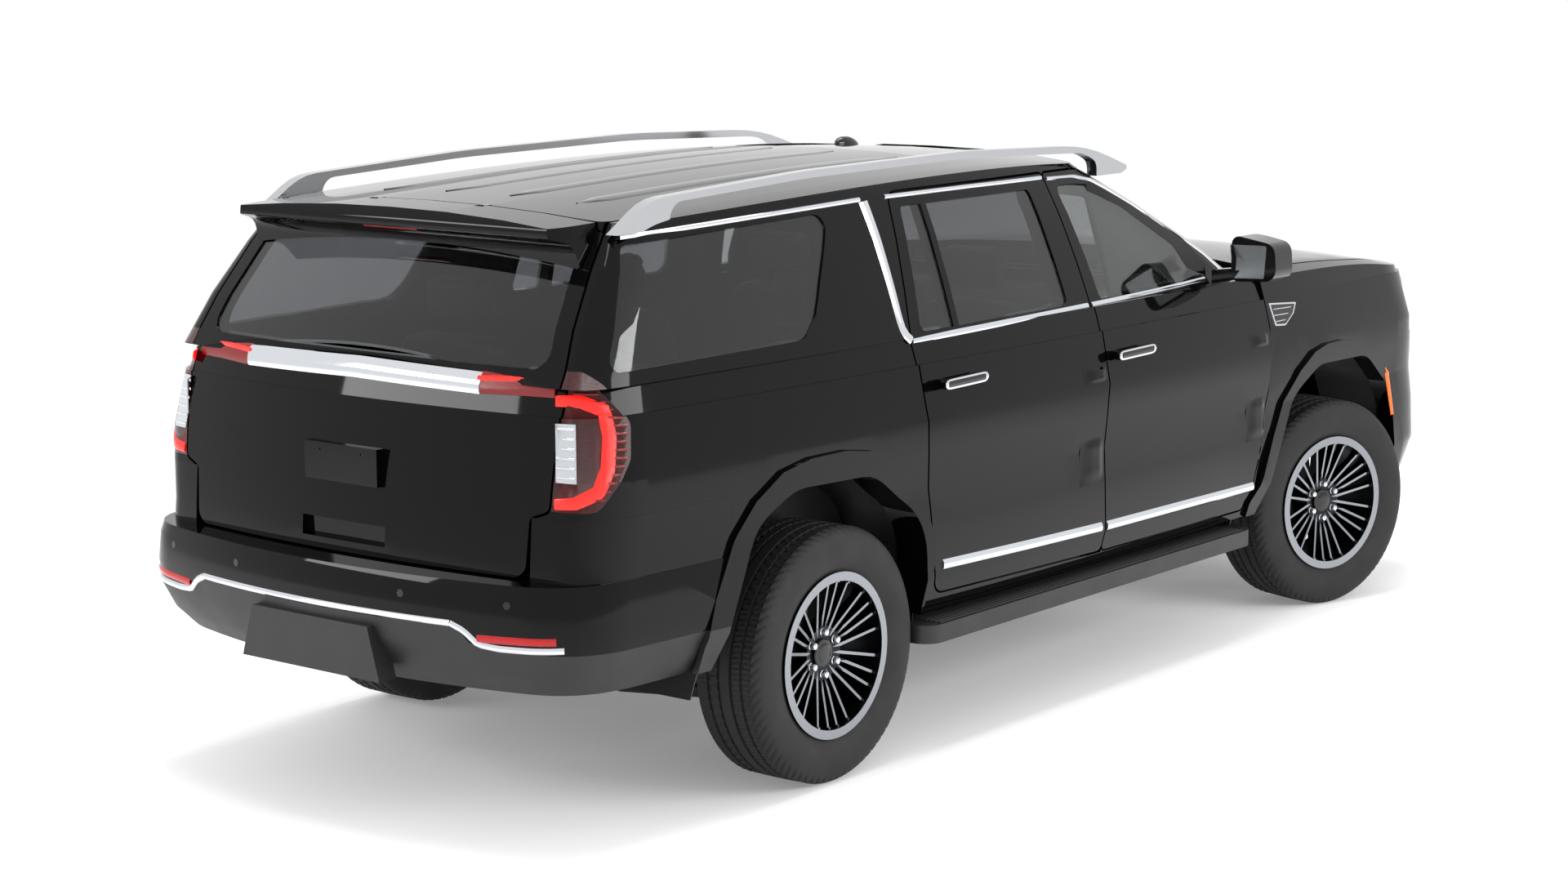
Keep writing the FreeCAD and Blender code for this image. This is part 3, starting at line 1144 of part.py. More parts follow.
def knuckle():
    """A steering knuckle between its ball joints, with its hub."""
    post_low, post_high = BALL_LOW - HUB_Z, BALL_HIGH - HUB_Z
    post = prism_y([(-38, post_low + s.seat_gap, 0), (38, post_low + s.seat_gap, 0), (58, 0, 40),
                    (34, post_high - s.seat_gap, 0), (-34, post_high - s.seat_gap, 0), (-58, 0, 40)],
                   s.kingpin_offset - 26, s.kingpin_offset + 26)
    pin = Part.makeCylinder(BALL_PIN, 2 * BALL_PIN_REACH,
                            Vector(0, s.kingpin_offset, post_low - BALL_PIN_REACH))
    return hub(s.kingpin_offset + s.hub_offset).fuse([post, pin])


def place_front(shape, side):
    """Puts a front piece, drawn about a right-hand hub, at its kingpin with the parked steer."""
    if side > 0:
        shape = mirrored(shape)
    placed = shape.copy()
    placed.translate(Vector(0, side * s.kingpin_offset, HUB_Z))
    placed.rotate(Vector(0, 0, 0), Vector(0, 0, 1), s.steer_rest)
    placed.translate(Vector(FRONT_AXLE, side * KINGPIN_Y, 0))
    return placed


def place_rear(shape, side):
    if side > 0:
        shape = mirrored(shape)
    placed = shape.copy()
    placed.translate(Vector(REAR_AXLE, side * WHEEL_Y, HUB_Z))
    return placed


def arm(x, low, thickness, tip_y, root_y, half_tip, half_root):
    """A wishbone in plan, from its frame bushes to its ball joint."""
    plan = [(x - half_root, -root_y, 20), (x + half_root, -root_y, 20), (x + half_tip, -tip_y + 30, 60),
            (x + half_tip, -tip_y - 28, 24), (x - half_tip, -tip_y - 28, 24), (x - half_tip, -tip_y + 30, 60)]
    plate = prism_z(plan, low, low + thickness)
    window = prism_z([(x - half_root + 55, -root_y - 10, 20), (x + half_root - 55, -root_y - 10, 20),
                      (x + 18, -tip_y + 90, 20), (x - 18, -tip_y + 90, 20)], low - 1, low + thickness + 1)
    return plate.cut(window)


ARM_THICKNESS = 34
front_low = arm(FRONT_AXLE, BALL_LOW - ARM_THICKNESS, ARM_THICKNESS, KINGPIN_Y, rail_in - 60, 32, 190)
front_low = front_low.fuse(box(FRONT_AXLE - 190, FRONT_AXLE - 120, -rail_out + 10, -rail_in + 55, BALL_LOW - 20,
                               s.rail_z - s.seat_gap)).fuse(
    box(FRONT_AXLE + 120, FRONT_AXLE + 190, -rail_out + 10, -rail_in + 55, BALL_LOW - 20, s.rail_z - s.seat_gap))
ball_bore = bar(BALL_PIN + 2 * PIN_ROOM, 2 * BALL_PIN_REACH,
                Vector(FRONT_AXLE, -KINGPIN_Y, BALL_LOW - BALL_PIN_REACH - s.seat_gap), UP)
front_low = front_low.cut(ball_bore)
front_high = arm(FRONT_AXLE, BALL_HIGH, 26, KINGPIN_Y, rail_in + 10, 28, 120)
front_high = front_high.fuse(box(FRONT_AXLE - 110, FRONT_AXLE + 110, -rail_out + 10, -rail_in,
                                 rail_top + s.seat_gap, BALL_HIGH + 10))
rear_carrier = hub(90).fuse(prism_y([(-40, -153, 0), (40, -153, 0), (60, 0, 40), (40, 170, 20),
                                     (-40, 170, 20), (-60, 0, 40)], 44, 88))
rear_carrier = rear_carrier.cut(bar(26 + 2 * s.seat_gap, 300, Vector(0, 100, 0), OUT))
rear_low = arm(REAR_AXLE, BALL_LOW - ARM_THICKNESS, ARM_THICKNESS, WHEEL_Y - 66, 250, 32, CRADLE_X + 25)
spring = bar(58, kicked_rail_z - s.seat_gap - BALL_LOW + 5,
             Vector(REAR_AXLE - 110, -s.rail_y, BALL_LOW - 5), Vector(0, 0, 1))
rear_low = rear_low.fuse([spring, box(REAR_AXLE - 168, REAR_AXLE - 100, -rail_out, -300, BALL_LOW - 20, BALL_LOW + 5)])
for offset in (-CRADLE_X, CRADLE_X):
    rear_low = rear_low.fuse(box(REAR_AXLE + offset - 20, REAR_AXLE + offset + 20, -300, -254, BALL_LOW - 10,
                                 CRADLE_LOW - s.seat_gap))
rear_upright = place_rear(rear_carrier, -1).fuse(rear_low)
suspension_right = [front_low, front_high, rear_upright]
suspension = suspension_right + [mirrored(shape) for shape in suspension_right]

wheel_nodes = []
for label, place, side in (("front_right", place_front, -1), ("front_left", place_front, 1),
                           ("rear_right", place_rear, -1), ("rear_left", place_rear, 1)):
    wheel_nodes.append((f"tyre_{label}", place(tyre, side)))
    wheel_nodes.append((f"rim_{label}", place(rim, side)))
wheel_nodes.append(("knuckle_right", place_front(knuckle(), -1)))
wheel_nodes.append(("knuckle_left", place_front(knuckle(), 1)))
for label, shape in (("body_side_right", body_side), ("door_front_right", front_door),
                     ("door_rear_right", rear_door), ("door_front_right_glass", front_pane),
                     ("door_rear_right_glass", rear_panes), ("mirror_right", mirror),
                     ("fender_right", fender)):
    keep(label.replace("right", "left"), mirrored(keep(label, shape)), clean=False)
pairs = (("headlamps", headlamp), ("tail_lamps", tail_lamp), ("roof_rails", rail), ("running_boards", board))
for label, shape in pairs:
    keep(label, Part.makeCompound([shape, mirrored(shape)]))
for label, shape in (("roof_panel", roof), ("tailgate", tailgate), ("tailgate_glass", gate_pane),
                     ("hood", bonnet), ("front_bumper", bumper_front), ("grille", grille),
                     ("rear_bumper", rear_bumper), ("rear_valance", valance),
                     ("rear_spoiler", spoiler), ("chassis_frame", chassis), ("floor_pan", floor),
                     ("dashboard", dash), ("steering_wheel", steering), ("engine", engine),
                     ("driveline", driveline), ("fuel_tank", tank), ("exhaust", exhaust)):
    keep(label, shape)
keep("fixed_glass", Part.makeCompound([windscreen, sunroof, quarter_pane, mirrored(quarter_pane)]))
keep("front_seats", Part.makeCompound(front_seats))
keep("rear_seats", Part.makeCompound(second_row + third_row))
keep("suspension", Part.makeCompound(suspension))
for label, shape in wheel_nodes:
    keep(label, shape, clean=False)
doc.recompute()
for thing in doc.Objects:
    faults = [state for state in thing.State if state in ("Invalid", "Error")]
    if faults:
        raise RuntimeError(f"{thing.Label}: {faults}")
for node in nodes:
    if node.Shape.isNull() or not node.Shape.isValid():
        raise RuntimeError(f"{node.Label}: no valid shape")
for node in nodes:
    solids = node.Shape.Solids
    print(node.Label, len(solids), "solids", round(sum(v.Volume for v in solids) / 1e6, 2), "litres")
    node.Shape.exportStep(f"parts/{node.Label}.step")
for name, x in (("front", FRONT_PIN_X), ("rear", REAR_PIN_X)):
    print(name, "door pin", pin_place(x))
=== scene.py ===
# %% [markdown]
# # A full-size sport utility vehicle, dressed in Blender
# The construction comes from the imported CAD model: every panel, pane and wheel is already in its
# place, in metres. This lesson gives each surface its finish and adds the thin trim, tread, lamps'
# insides and small fittings that a car designer would model as surfaces. Everything new is worked
# out with numpy as whole arrays.

# %% Load the frame
import json
import math
import bmesh
import bpy
import numpy as np
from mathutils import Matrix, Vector
from mathutils.bvhtree import BVHTree


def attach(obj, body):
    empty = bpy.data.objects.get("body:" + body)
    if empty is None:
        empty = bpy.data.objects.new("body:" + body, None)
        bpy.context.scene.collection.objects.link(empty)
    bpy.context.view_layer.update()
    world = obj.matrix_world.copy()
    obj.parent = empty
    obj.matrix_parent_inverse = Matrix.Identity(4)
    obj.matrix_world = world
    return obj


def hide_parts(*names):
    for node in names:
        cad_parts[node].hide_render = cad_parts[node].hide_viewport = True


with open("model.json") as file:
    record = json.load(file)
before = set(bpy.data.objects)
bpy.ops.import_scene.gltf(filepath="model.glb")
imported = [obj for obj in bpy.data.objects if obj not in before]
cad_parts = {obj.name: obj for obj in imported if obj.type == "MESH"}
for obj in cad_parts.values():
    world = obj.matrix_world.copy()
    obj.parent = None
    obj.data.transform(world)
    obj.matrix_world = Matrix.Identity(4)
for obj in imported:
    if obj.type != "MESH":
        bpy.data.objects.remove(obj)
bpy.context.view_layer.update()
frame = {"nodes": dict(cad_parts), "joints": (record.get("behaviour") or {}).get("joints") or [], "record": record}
nodes = frame["nodes"]
slot_of = {part["node"]: part["material_slot"] for part in frame["record"]["subparts"]}

# %% [markdown]
# ## Colour and node helpers
# Paint chips and datasheets give colours as sRGB hex values, and a shader works in linear light,
# so one function turns the first into the second. Another adds a shader node with its settings,
# plain values and links, because each material below is a short list of such nodes.

# %% Helpers for colours and shader nodes
def linear(code):
    """sRGB hex to linear RGBA: below 0.04045 divide by 12.92, above it a 2.4 power curve."""
    value = np.array([int(code[i:i + 2], 16) for i in (0, 2, 4)]) / 255
    curve = np.where(value <= 0.04045, value / 12.92, ((value + 0.055) / 1.055) ** 2.4)
    return (*curve.tolist(), 1.0)


def add(tree, kind, values=None, links=None, **settings):
    """Adds one node: its settings, its sockets' plain values, and links into its sockets."""
    made = tree.nodes.new(kind)
    for name, value in settings.items():
        setattr(made, name, value)
    for socket, value in (values or {}).items():
        made.inputs[socket].default_value = value
    for socket, source in (links or {}).items():
        tree.links.new(source, made.inputs[socket])
    return made


def finish(name, base, roughness, metallic=0.0, **values):
    """A Principled material and its tree, with the values that are the same all over."""
    material = bpy.data.materials.new(name)
    material.use_nodes = True
    tree = material.node_tree
    shader = tree.nodes["Principled BSDF"]
    shader.inputs["Base Color"].default_value = linear(base)
    shader.inputs["Roughness"].default_value = roughness
    shader.inputs["Metallic"].default_value = metallic
    for socket, value in values.items():
        shader.inputs[socket.replace("_", " ")].default_value = value
    return material, tree, shader


def place_in_millimetres(tree):
    """Object coordinates, in which one unit is a millimetre."""
    place = add(tree, "ShaderNodeTexCoord")
    scale = add(tree, "ShaderNodeMapping", {"Scale": (1000, 1000, 1000)},
                {"Vector": place.outputs["Object"]})
    return scale.outputs["Vector"]


def vary_roughness(tree, shader, source, low, high):
    """Spreads a 0 to 1 pattern over a range of roughness."""
    spread = add(tree, "ShaderNodeMapRange", {"To Min": low, "To Max": high}, {"Value": source})
    tree.links.new(spread.outputs["Result"], shader.inputs["Roughness"])


def bump(tree, shader, height, depth_mm):
    """Raises the surface by a 0 to 1 pattern, depth_mm high."""
    relief = add(tree, "ShaderNodeBump", {"Strength": 1.0, "Distance": depth_mm / 1000},
                 {"Height": height})
    tree.links.new(relief.outputs["Normal"], shader.inputs["Normal"])


# %% [markdown]
# ## Paint
# The body is solid black enamel under clear lacquer. What the eye sees is almost only
# reflections, broken by a very fine orange peel a few millimetres across, and a faint change of
# gloss where the panels have been wiped.

# %% Black lacquered paint
def lacquered_paint():
    """Black enamel under a clear coat, with orange peel of a few millimetres."""
    material, tree, shader = finish("black_lacquer", "050506", 0.08, IOR=1.38,
                                    Specular_IOR_Level=0.28)
    place = place_in_millimetres(tree)
    peel = add(tree, "ShaderNodeTexNoise", {"Scale": 1 / 7, "Detail": 2.0}, {"Vector": place})
    wiped = add(tree, "ShaderNodeTexNoise", {"Scale": 1 / 380, "Detail": 3.0}, {"Vector": place})
    vary_roughness(tree, shader, wiped.outputs["Fac"], 0.02, 0.06)
    bump(tree, shader, peel.outputs["Fac"], 0.006)
    return material


paint = lacquered_paint()
print("paint", paint.name)

# %% [markdown]
# ## Plastics
# Gloss black ABS is used where a panel must look like glass, on the mirrors and the grille.
# The bumper's lower cover, the arch liners and the steps are polypropylene with a moulded grain
# about two millimetres wide, which scatters light and hides scratches.

# %% Moulded plastics
def moulded_plastic(name, base, rough_low, rough_high, grain_mm, depth_mm):
    """A moulded plastic: cells of grain pressed into it by the tool."""
    material, tree, shader = finish(name, base, rough_low)
    place = place_in_millimetres(tree)
    grain = add(tree, "ShaderNodeTexVoronoi", {"Scale": 1 / grain_mm}, {"Vector": place})
    cloud = add(tree, "ShaderNodeTexNoise", {"Scale": 1 / 90, "Detail": 4.0}, {"Vector": place})
    vary_roughness(tree, shader, cloud.outputs["Fac"], rough_low, rough_high)
    bump(tree, shader, grain.outputs["Distance"], depth_mm)
    return material


gloss_trim = moulded_plastic("gloss_black_abs", "08080A", 0.06, 0.14, 5.0, 0.01)
dark_trim = moulded_plastic("grained_polypropylene", "1A1A1B", 0.42, 0.58, 2.4, 0.12)
cabin_trim = moulded_plastic("soft_touch_polypropylene", "151516", 0.5, 0.7, 2.0, 0.1)
print("plastics", gloss_trim.name, dark_trim.name, cabin_trim.name)

# %% [markdown]
# ## Metals
# Bright trim is chromed plastic or stainless steel, polished until only long soft streaks
# remain. The roof rails are anodised aluminium, satin rather than bright.

# %% Metals
def drawn_metal(name, base, rough_low, rough_high, streak_mm, cross_mm):
    """A metal finished along X: streaks long in X and narrow across it."""
    material, tree, shader = finish(name, base, rough_low, metallic=1.0)
    place = add(tree, "ShaderNodeTexCoord")
    stretch = add(tree, "ShaderNodeMapping",
                  {"Scale": (1000 / streak_mm, 1000 / cross_mm, 1000 / cross_mm)},
                  {"Vector": place.outputs["Object"]})
    streaks = add(tree, "ShaderNodeTexNoise", {"Scale": 1.0, "Detail": 3.0},
                  {"Vector": stretch.outputs["Vector"]})
    vary_roughness(tree, shader, streaks.outputs["Fac"], rough_low, rough_high)
    bump(tree, shader, streaks.outputs["Fac"], 0.004)
    return material


chrome = drawn_metal("polished_chrome", "DADDE2", 0.03, 0.10, 90, 3)
satin_rail = drawn_metal("satin_anodised_aluminium", "C4C6C9", 0.10, 0.18, 120, 2)
steel = drawn_metal("bare_steel_tube", "4A4A4C", 0.35, 0.55, 60, 4)
cast_iron = drawn_metal("cast_iron", "353535", 0.5, 0.7, 6, 6)
frame_paint = moulded_plastic("black_frame_wax", "0E0E0F", 0.35, 0.6, 9.0, 0.2)
print("metals", chrome.name, satin_rail.name, steel.name, cast_iron.name)

# %% [markdown]
# ## Glass
# The front door panes are lightly tinted, and everything behind them is privacy glass. The
# windscreen takes it too, because it is one node with the quarter panes. All are real panes of
# 5 mm with two faces, so a clear transmission with a tinted colour is enough.

# %% Window glass
def window_glass(name, tint):
    """Float glass with a body tint, and a faint film of dust that changes its gloss."""
    material, tree, shader = finish(name, tint, 0.0, IOR=1.45, Transmission_Weight=1.0)
    place = place_in_millimetres(tree)
    film = add(tree, "ShaderNodeTexNoise", {"Scale": 1 / 240, "Detail": 4.0}, {"Vector": place})
    vary_roughness(tree, shader, film.outputs["Fac"], 0.0, 0.03)
    return material


clear_glass = window_glass("tinted_float_glass", "DCE1DF")
privacy_glass = window_glass("privacy_glass", "96989B")
print("glass", clear_glass.name, privacy_glass.name)

# %% [markdown]
# ## Lamps
# A lamp is a moulded acrylic lens. Red acrylic over a reflector looks deep red at its thick
# edges, and the lit light guide behind it is the brightest thing on the car.

# %% Lamp plastics
def acrylic(name, base, glow=0.0, pitch_mm=6.0, depth_mm=0.15):
    """Acrylic with moulded flutes of a given pitch; glow is emitted light: a lit lamp's own light,
    and on the reflector a painted glow.
    """
    material, tree, shader = finish(name, base, 0.08, IOR=1.49)
    shader.inputs["Emission Color"].default_value = linear(base)
    shader.inputs["Emission Strength"].default_value = glow
    place = place_in_millimetres(tree)
    flutes = add(tree, "ShaderNodeTexWave", {"Scale": 1 / pitch_mm}, {"Vector": place},
                 bands_direction="Z", wave_profile="SIN")
    vary_roughness(tree, shader, flutes.outputs["Fac"], 0.05, 0.16)
    bump(tree, shader, flutes.outputs["Fac"], depth_mm)
    return material


red_lens = acrylic("red_acrylic_lens", "7A0508")
red_guide = acrylic("lit_red_light_guide", "FF1A12", glow=0.9)
clear_lens = acrylic("clear_acrylic_lens", "B9BCC0")
print("lamps", red_lens.name, red_guide.name, clear_lens.name)

# %% [markdown]
# ## Rubber, leather and wheels
# Tyre rubber is matt, with a fine bloom that changes its gloss in places. The seats are black
# leather with a grain of about three millimetres, and the wheels have their own two finishes.

# %% Rubber, leather and wheel finishes
tyre_rubber = moulded_plastic("tyre_rubber", "141415", 0.62, 0.82, 1.6, 0.05)
seat_leather = moulded_plastic("black_leather", "121213", 0.4, 0.6, 3.0, 0.25)
alloy_dark = drawn_metal("dark_grey_wheel_paint", "2B2C2F", 0.25, 0.4, 8, 8)
alloy_face = drawn_metal("machined_wheel_face", "8F9297", 0.22, 0.34, 3, 3)
print("soft", tyre_rubber.name, seat_leather.name, "wheels", alloy_dark.name, alloy_face.name)

# %% [markdown]
# ## Finishes on the CAD nodes
# The record gives every node a slot. Most nodes take one finish from their slot, and a few are
# named here because the same slot covers two finishes on the real car.

# %% Give each node its finish
FINISH_OF_SLOT = {
    "body_paint": paint, "frame_paint": frame_paint, "gloss_trim": gloss_trim,
    "dark_trim": dark_trim, "bright_trim": satin_rail, "glazing": privacy_glass,
    "lamp_red": red_lens, "lamp_clear": clear_lens, "tyre_rubber": tyre_rubber,
    "alloy": alloy_dark, "iron": cast_iron, "upholstery": seat_leather, "steel": steel,
}
CLEAR_PANES = ("door_front_right_glass", "door_front_left_glass")


def dress(node, material):
    """Gives a CAD node one finish in its only slot."""
    data = nodes[node].data
    data.materials.clear()
    data.materials.append(material)


for node in nodes:
    dress(node, FINISH_OF_SLOT[slot_of[node]])
for node in CLEAR_PANES:
    dress(node, clear_glass)
dress("dashboard", cabin_trim)
print("dressed", len(nodes))

# %% [markdown]
# ## Smooth panels
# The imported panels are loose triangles. A Weld modifier joins them again, and an Edge Split at
# 28 degrees keeps the shut lines and flanges crisp while the skins shade as one curve.

# %% Smooth shading on the CAD nodes
CREASE = math.radians(28)
WELD = 0.00005
for node in nodes.values():
    node.data.polygons.foreach_set("use_smooth", np.ones(len(node.data.polygons), bool))
    weld = node.modifiers.new("weld", "WELD")
    weld.merge_threshold = WELD
    split = node.modifiers.new("crease", "EDGE_SPLIT")
    split.split_angle = CREASE
print("smoothed")

# %% [markdown]
# ## Tools for trim
# Chrome strips, lamp bands and pads all lie on the CAD skin. A Shrinkwrap modifier could lay them
# there, but a sight line through each wanted point also finds the way that the skin faces. A
# strip is then a small section carried along those points, and the rest are grids of points.

# %% Meshes from grids
def grid_faces(rows, columns, wrap_rows=False):
    """Four-sided faces of a grid, counted row by row. Each row closes on itself, and with
    wrap_rows the last row meets the first."""
    steps = rows if wrap_rows else rows - 1
    r, c = np.meshgrid(np.arange(steps), np.arange(columns), indexing="ij")
    below, right = (r + 1) % rows, (c + 1) % columns
    corners = (r * columns + c, below * columns + c, below * columns + right, r * columns + right)
    return np.stack(corners, -1).reshape(-1, 4).tolist()


def piece(name, points, faces, coat, body="vehicle", crease=30):
    """A closed piece from points and faces, turned outward, smooth below the crease angle. Its
    coat is a material and the record's slot for it, but the slot is not used."""
    material, slot = coat
    mesh = bpy.data.meshes.new(name)
    mesh.from_pydata(np.reshape(points, (-1, 3)).tolist(), [], faces)
    work = bmesh.new()
    work.from_mesh(mesh)
    bmesh.ops.recalc_face_normals(work, faces=work.faces)
    work.to_mesh(mesh)
    work.free()
    mesh.polygons.foreach_set("use_smooth", np.ones(len(mesh.polygons), bool))
    mesh.set_sharp_from_angle(angle=math.radians(crease))
    mesh.materials.append(material)
    made = bpy.data.objects.new(name, mesh)
    bpy.context.scene.collection.objects.link(made)
    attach(made, body)
    return made


def tube(name, rings, coat, body="vehicle", crease=30):
    """A closed piece from rings of points, one ring a row, with a face over each end ring."""
    rows, columns = rings.shape[:2]
    ends = [list(range(columns)), list(range((rows - 1) * columns, rows * columns))]
    return piece(name, rings, grid_faces(rows, columns) + ends, coat, body, crease)


PAINTED, RUBBER = (paint, "body_paint"), (tyre_rubber, "tyre_rubber")
BRIGHT, GLOSS = (chrome, "bright_trim"), (gloss_trim, "gloss_trim")
MATT, CABIN = (dark_trim, "dark_trim"), (cabin_trim, "dark_trim")
RED, LIT = (red_lens, "lamp_red"), (red_guide, "lamp_red")
print("coats", PAINTED[1], BRIGHT[1], GLOSS[1], MATT[1], RED[1])

# %% Sight lines on the skin
REACH, GAP_DROP, CALM_SHARE, CALM_BURIED = 0.6, 0.09, 80, 10


def skin(*names):
    """A search tree over the faces of some CAD nodes at rest."""
    joined = bmesh.new()
    for name in names:
        joined.from_mesh(nodes[name].data)
    tree = BVHTree.FromBMesh(joined)
    joined.free()
    return tree


def settle(tree, wanted, look, calm=0):
    """Where sight lines along look, through the wanted points, meet the skin, and the way that it
    faces there. The distance of a line that falls through a gap comes from its neighbours, and
    the directions are averaged over five points. With calm, the distances are a polynomial of
    that degree, fitted without the fifth that strays most and moved out until only a tenth of
    the rest stands before it, and the directions are a straight line, to bridge small steps."""
    look = np.array(look, float) / np.linalg.norm(look)
    hits = [tree.ray_cast(start, look, 2 * REACH) for start in (wanted - look * REACH).tolist()]
    distance = np.array([np.nan if hit[0] is None else hit[3] for hit in hits])
    facing = np.array([-look if hit[0] is None else hit[1] for hit in hits])
    distance[distance > np.nanmedian(distance) + GAP_DROP] = np.nan
    good = ~np.isnan(distance)
    step = np.arange(len(distance))
    distance = np.interp(step, step[good], distance[good])
    facing = np.where((facing @ look)[:, None] > 0, -facing, facing)
    facing[~good] = -look
    window = [facing[np.clip(step + shift, 0, len(step) - 1)] for shift in range(-2, 3)]
    facing = np.mean(window, axis=0)
    if calm:
        share = np.linspace(-1, 1, len(distance))
        stray = np.abs(distance - np.polyval(np.polyfit(share, distance, calm), share))
        near = stray <= np.percentile(stray, CALM_SHARE)
        fitted = np.polyval(np.polyfit(share[near], distance[near], calm), share)
        distance = fitted + np.percentile((distance - fitted)[near], CALM_BURIED)
        slope, level = np.polyfit(share, facing, 1)
        facing = slope * share[:, None] + level
    facing /= np.linalg.norm(facing, axis=1)[:, None]
    return wanted + look * (distance - REACH)[:, None], facing


print("sight lines reach", 2 * REACH)

# %% Lines, and strips carried along them
SIDES = (("right", -1), ("left", 1))
CROWN_EDGE = 0.35


def mirrored(points, side):
    """Points given for the right-hand side, put on the side asked for."""
    points = np.array(points, float)
    points[..., 1] *= -side
    return points


def spread(line, spacing, side=-1):
    """Points an even distance apart along a line of corners, which are given for the right."""
    line = mirrored(line, side)
    run = np.concatenate([[0], np.cumsum(np.linalg.norm(np.diff(line, axis=0), axis=1))])
    at = np.linspace(0, run[-1], max(int(run[-1] / spacing), 2) + 1)
    return np.stack([np.interp(at, run, line[:, axis]) for axis in range(3)], 1)


def smoothed(line, times=3):
    """A line whose inner points are averaged with their neighbours, 1 to 2 to 1, some times."""
    line = line.copy()
    for _ in range(times):
        line[1:-1] = (line[:-2] + 2 * line[1:-1] + line[2:]) / 4
    return line


def sweep(name, place, facing, width, section, coat, body):
    """A closed section carried along points, with a width at each: its corners are (across,
    proud), across in the skin at right angles to the line, and proud the way the skin faces."""
    along = np.gradient(place, axis=0)
    along /= np.linalg.norm(along, axis=1)[:, None]
    across = np.cross(facing, along)
    across /= np.linalg.norm(across, axis=1)[:, None]
    rings = (place[:, None] + (width[:, None] * section[:, 0])[:, :, None] * across[:, None]
             + section[None, :, 1:] * facing[:, None])
    tube(name, rings, coat, body)


def strip_on(name, tree, line, look, section, coat, body="vehicle", calm=0, width=np.ones_like,
             shift=0):
    """A strip along a line on the skin. Its width is a function of the share of the way along,
    and shift moves it off the place where the sight lines end."""
    place, facing = settle(tree, line, look, calm)
    share = np.linspace(0, 1, len(place))
    sweep(name, place + shift, facing, width(share), section, coat, body)


def crowned(half_width, proud, sunk=0.001, steps=7):
    """A strip's section: flat and sunk below, and above it a cosine crown of a given height."""
    t = np.linspace(-1, 1, steps)
    crown = proud * (CROWN_EDGE + (1 - CROWN_EDGE) * np.cos(t * math.pi / 2))
    crown[[0, -1]] = 0
    top = np.stack([t * half_width, crown], 1)
    return np.concatenate([top, [(half_width, -sunk), (-half_width, -sunk)]])


print("strip section", crowned(0.01, 0.005).shape)

# %% [markdown]
# ## Tyres
# An all-season road tyre, 275 mm wide on a 20-inch rim. Its tread has four round grooves, and
# cross grooves cut the ribs into blocks. A bump would leave the outline smooth, so the grooves
# are real: the tyre is one surface of angle and place across, whose radius drops in each groove.

# %% Tyre surface
TYRE_R, TREAD_HALF, CROWN_DROP = 0.419, 0.113, 0.004
GROOVES = np.array((-0.066, -0.024, 0.024, 0.066))
GROOVE_HALF, GROOVE_DEPTH, GROOVE_WALL = 0.005, 0.008, 0.0012
RIB_ROWS = (-0.098, -0.085, -0.045, 0, 0.045, 0.085, 0.098)
PITCHES, STEPS_PER_PITCH, CUT_SHARE, CUT_SLANT, CUT_DEPTH = 76, 8, 0.25, 42, 0.0045
CENTRE_RIB_HALF, SHOULDER_R, SHOULDER_RUN = 0.029, 0.385, 0.02
SIDE_KNOTS = np.array([(0.2545, 0.108), (0.262, 0.112), (0.276, 0.116), (0.30, 0.133),
                       (0.338, 0.142), (0.38, 0.137), (0.40, 0.129), (0.412, 0.118),
                       (0.418, 0.105)])
SIDE_ROWS = 19
UP = np.array([0.0, 0.0, 1.0])


def tyre_profile():
    """Radius and place across of each row, from the outer bead to the inner one: a sidewall
    smoothed through its knots, then rows at each groove's edges, then the sidewall's mirror."""
    t = np.linspace(0, len(SIDE_KNOTS) - 1, SIDE_ROWS)
    side = smoothed(np.stack([np.interp(t, np.arange(len(SIDE_KNOTS)), SIDE_KNOTS[:, i])
                              for i in (0, 1)], 1))
    edges = np.array((-GROOVE_HALF - GROOVE_WALL, -GROOVE_HALF, GROOVE_HALF,
                      GROOVE_HALF + GROOVE_WALL))
    across = np.sort(np.concatenate([np.add.outer(GROOVES, edges).ravel(), RIB_ROWS]))
    crown = TYRE_R - CROWN_DROP * np.abs(across / TREAD_HALF) ** 3
    rows = np.concatenate([side * (1, -1), np.stack([crown, across], 1), side[::-1]])
    return rows[:, 0], rows[:, 1]


def tyre(label, centre, forward, outward):
    """Radius over angle and place across: the profile, less the round grooves, less the cross
    grooves, which are slanted, lie beside the middle rib and run out on the shoulder."""
    radius, across = tyre_profile()
    count = PITCHES * STEPS_PER_PITCH
    step = np.arange(count)[:, None]
    inside = np.min(np.abs(across[:, None] - GROOVES), axis=1) < GROOVE_HALF + GROOVE_WALL / 2
    phase = (step / STEPS_PER_PITCH + np.abs(across) * CUT_SLANT) % 1
    shoulder = np.clip((radius - SHOULDER_R) / SHOULDER_RUN, 0, 1)
    cut = (phase < CUT_SHARE) & (np.abs(across) > CENTRE_RIB_HALF)
    reach = radius - np.maximum(np.where(inside, GROOVE_DEPTH, 0.0), cut * CUT_DEPTH * shoulder)
    angle = (2 * math.pi * step / count)[..., None]
    points = (centre + reach[..., None] * (np.cos(angle) * forward + np.sin(angle) * UP)
              - across[None, :, None] * outward)
    made = piece(f"tyre_{label}_treaded", points, grid_faces(count, len(across), True), RUBBER,
                 f"wheel_{label}", crease=50)
    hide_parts(f"tyre_{label}")


joint_of = {joint["child"]: joint for joint in frame["joints"]}
WHEELS = [(f"{end}_{label}", side) for end in ("rear", "front") for label, side in SIDES]


def wheel_frame(label, side):
    """A wheel's middle, its forward direction and its outward direction, from its joint."""
    joint = joint_of[f"wheel_{label}"]
    outward = np.array(joint["axis"]) * side
    return np.array(joint["pos_m"]), np.cross((0, 0, 1), outward) * -side, outward


for label, side in WHEELS:
    tyre(label, *wheel_frame(label, side))
print("tyres", len(WHEELS))

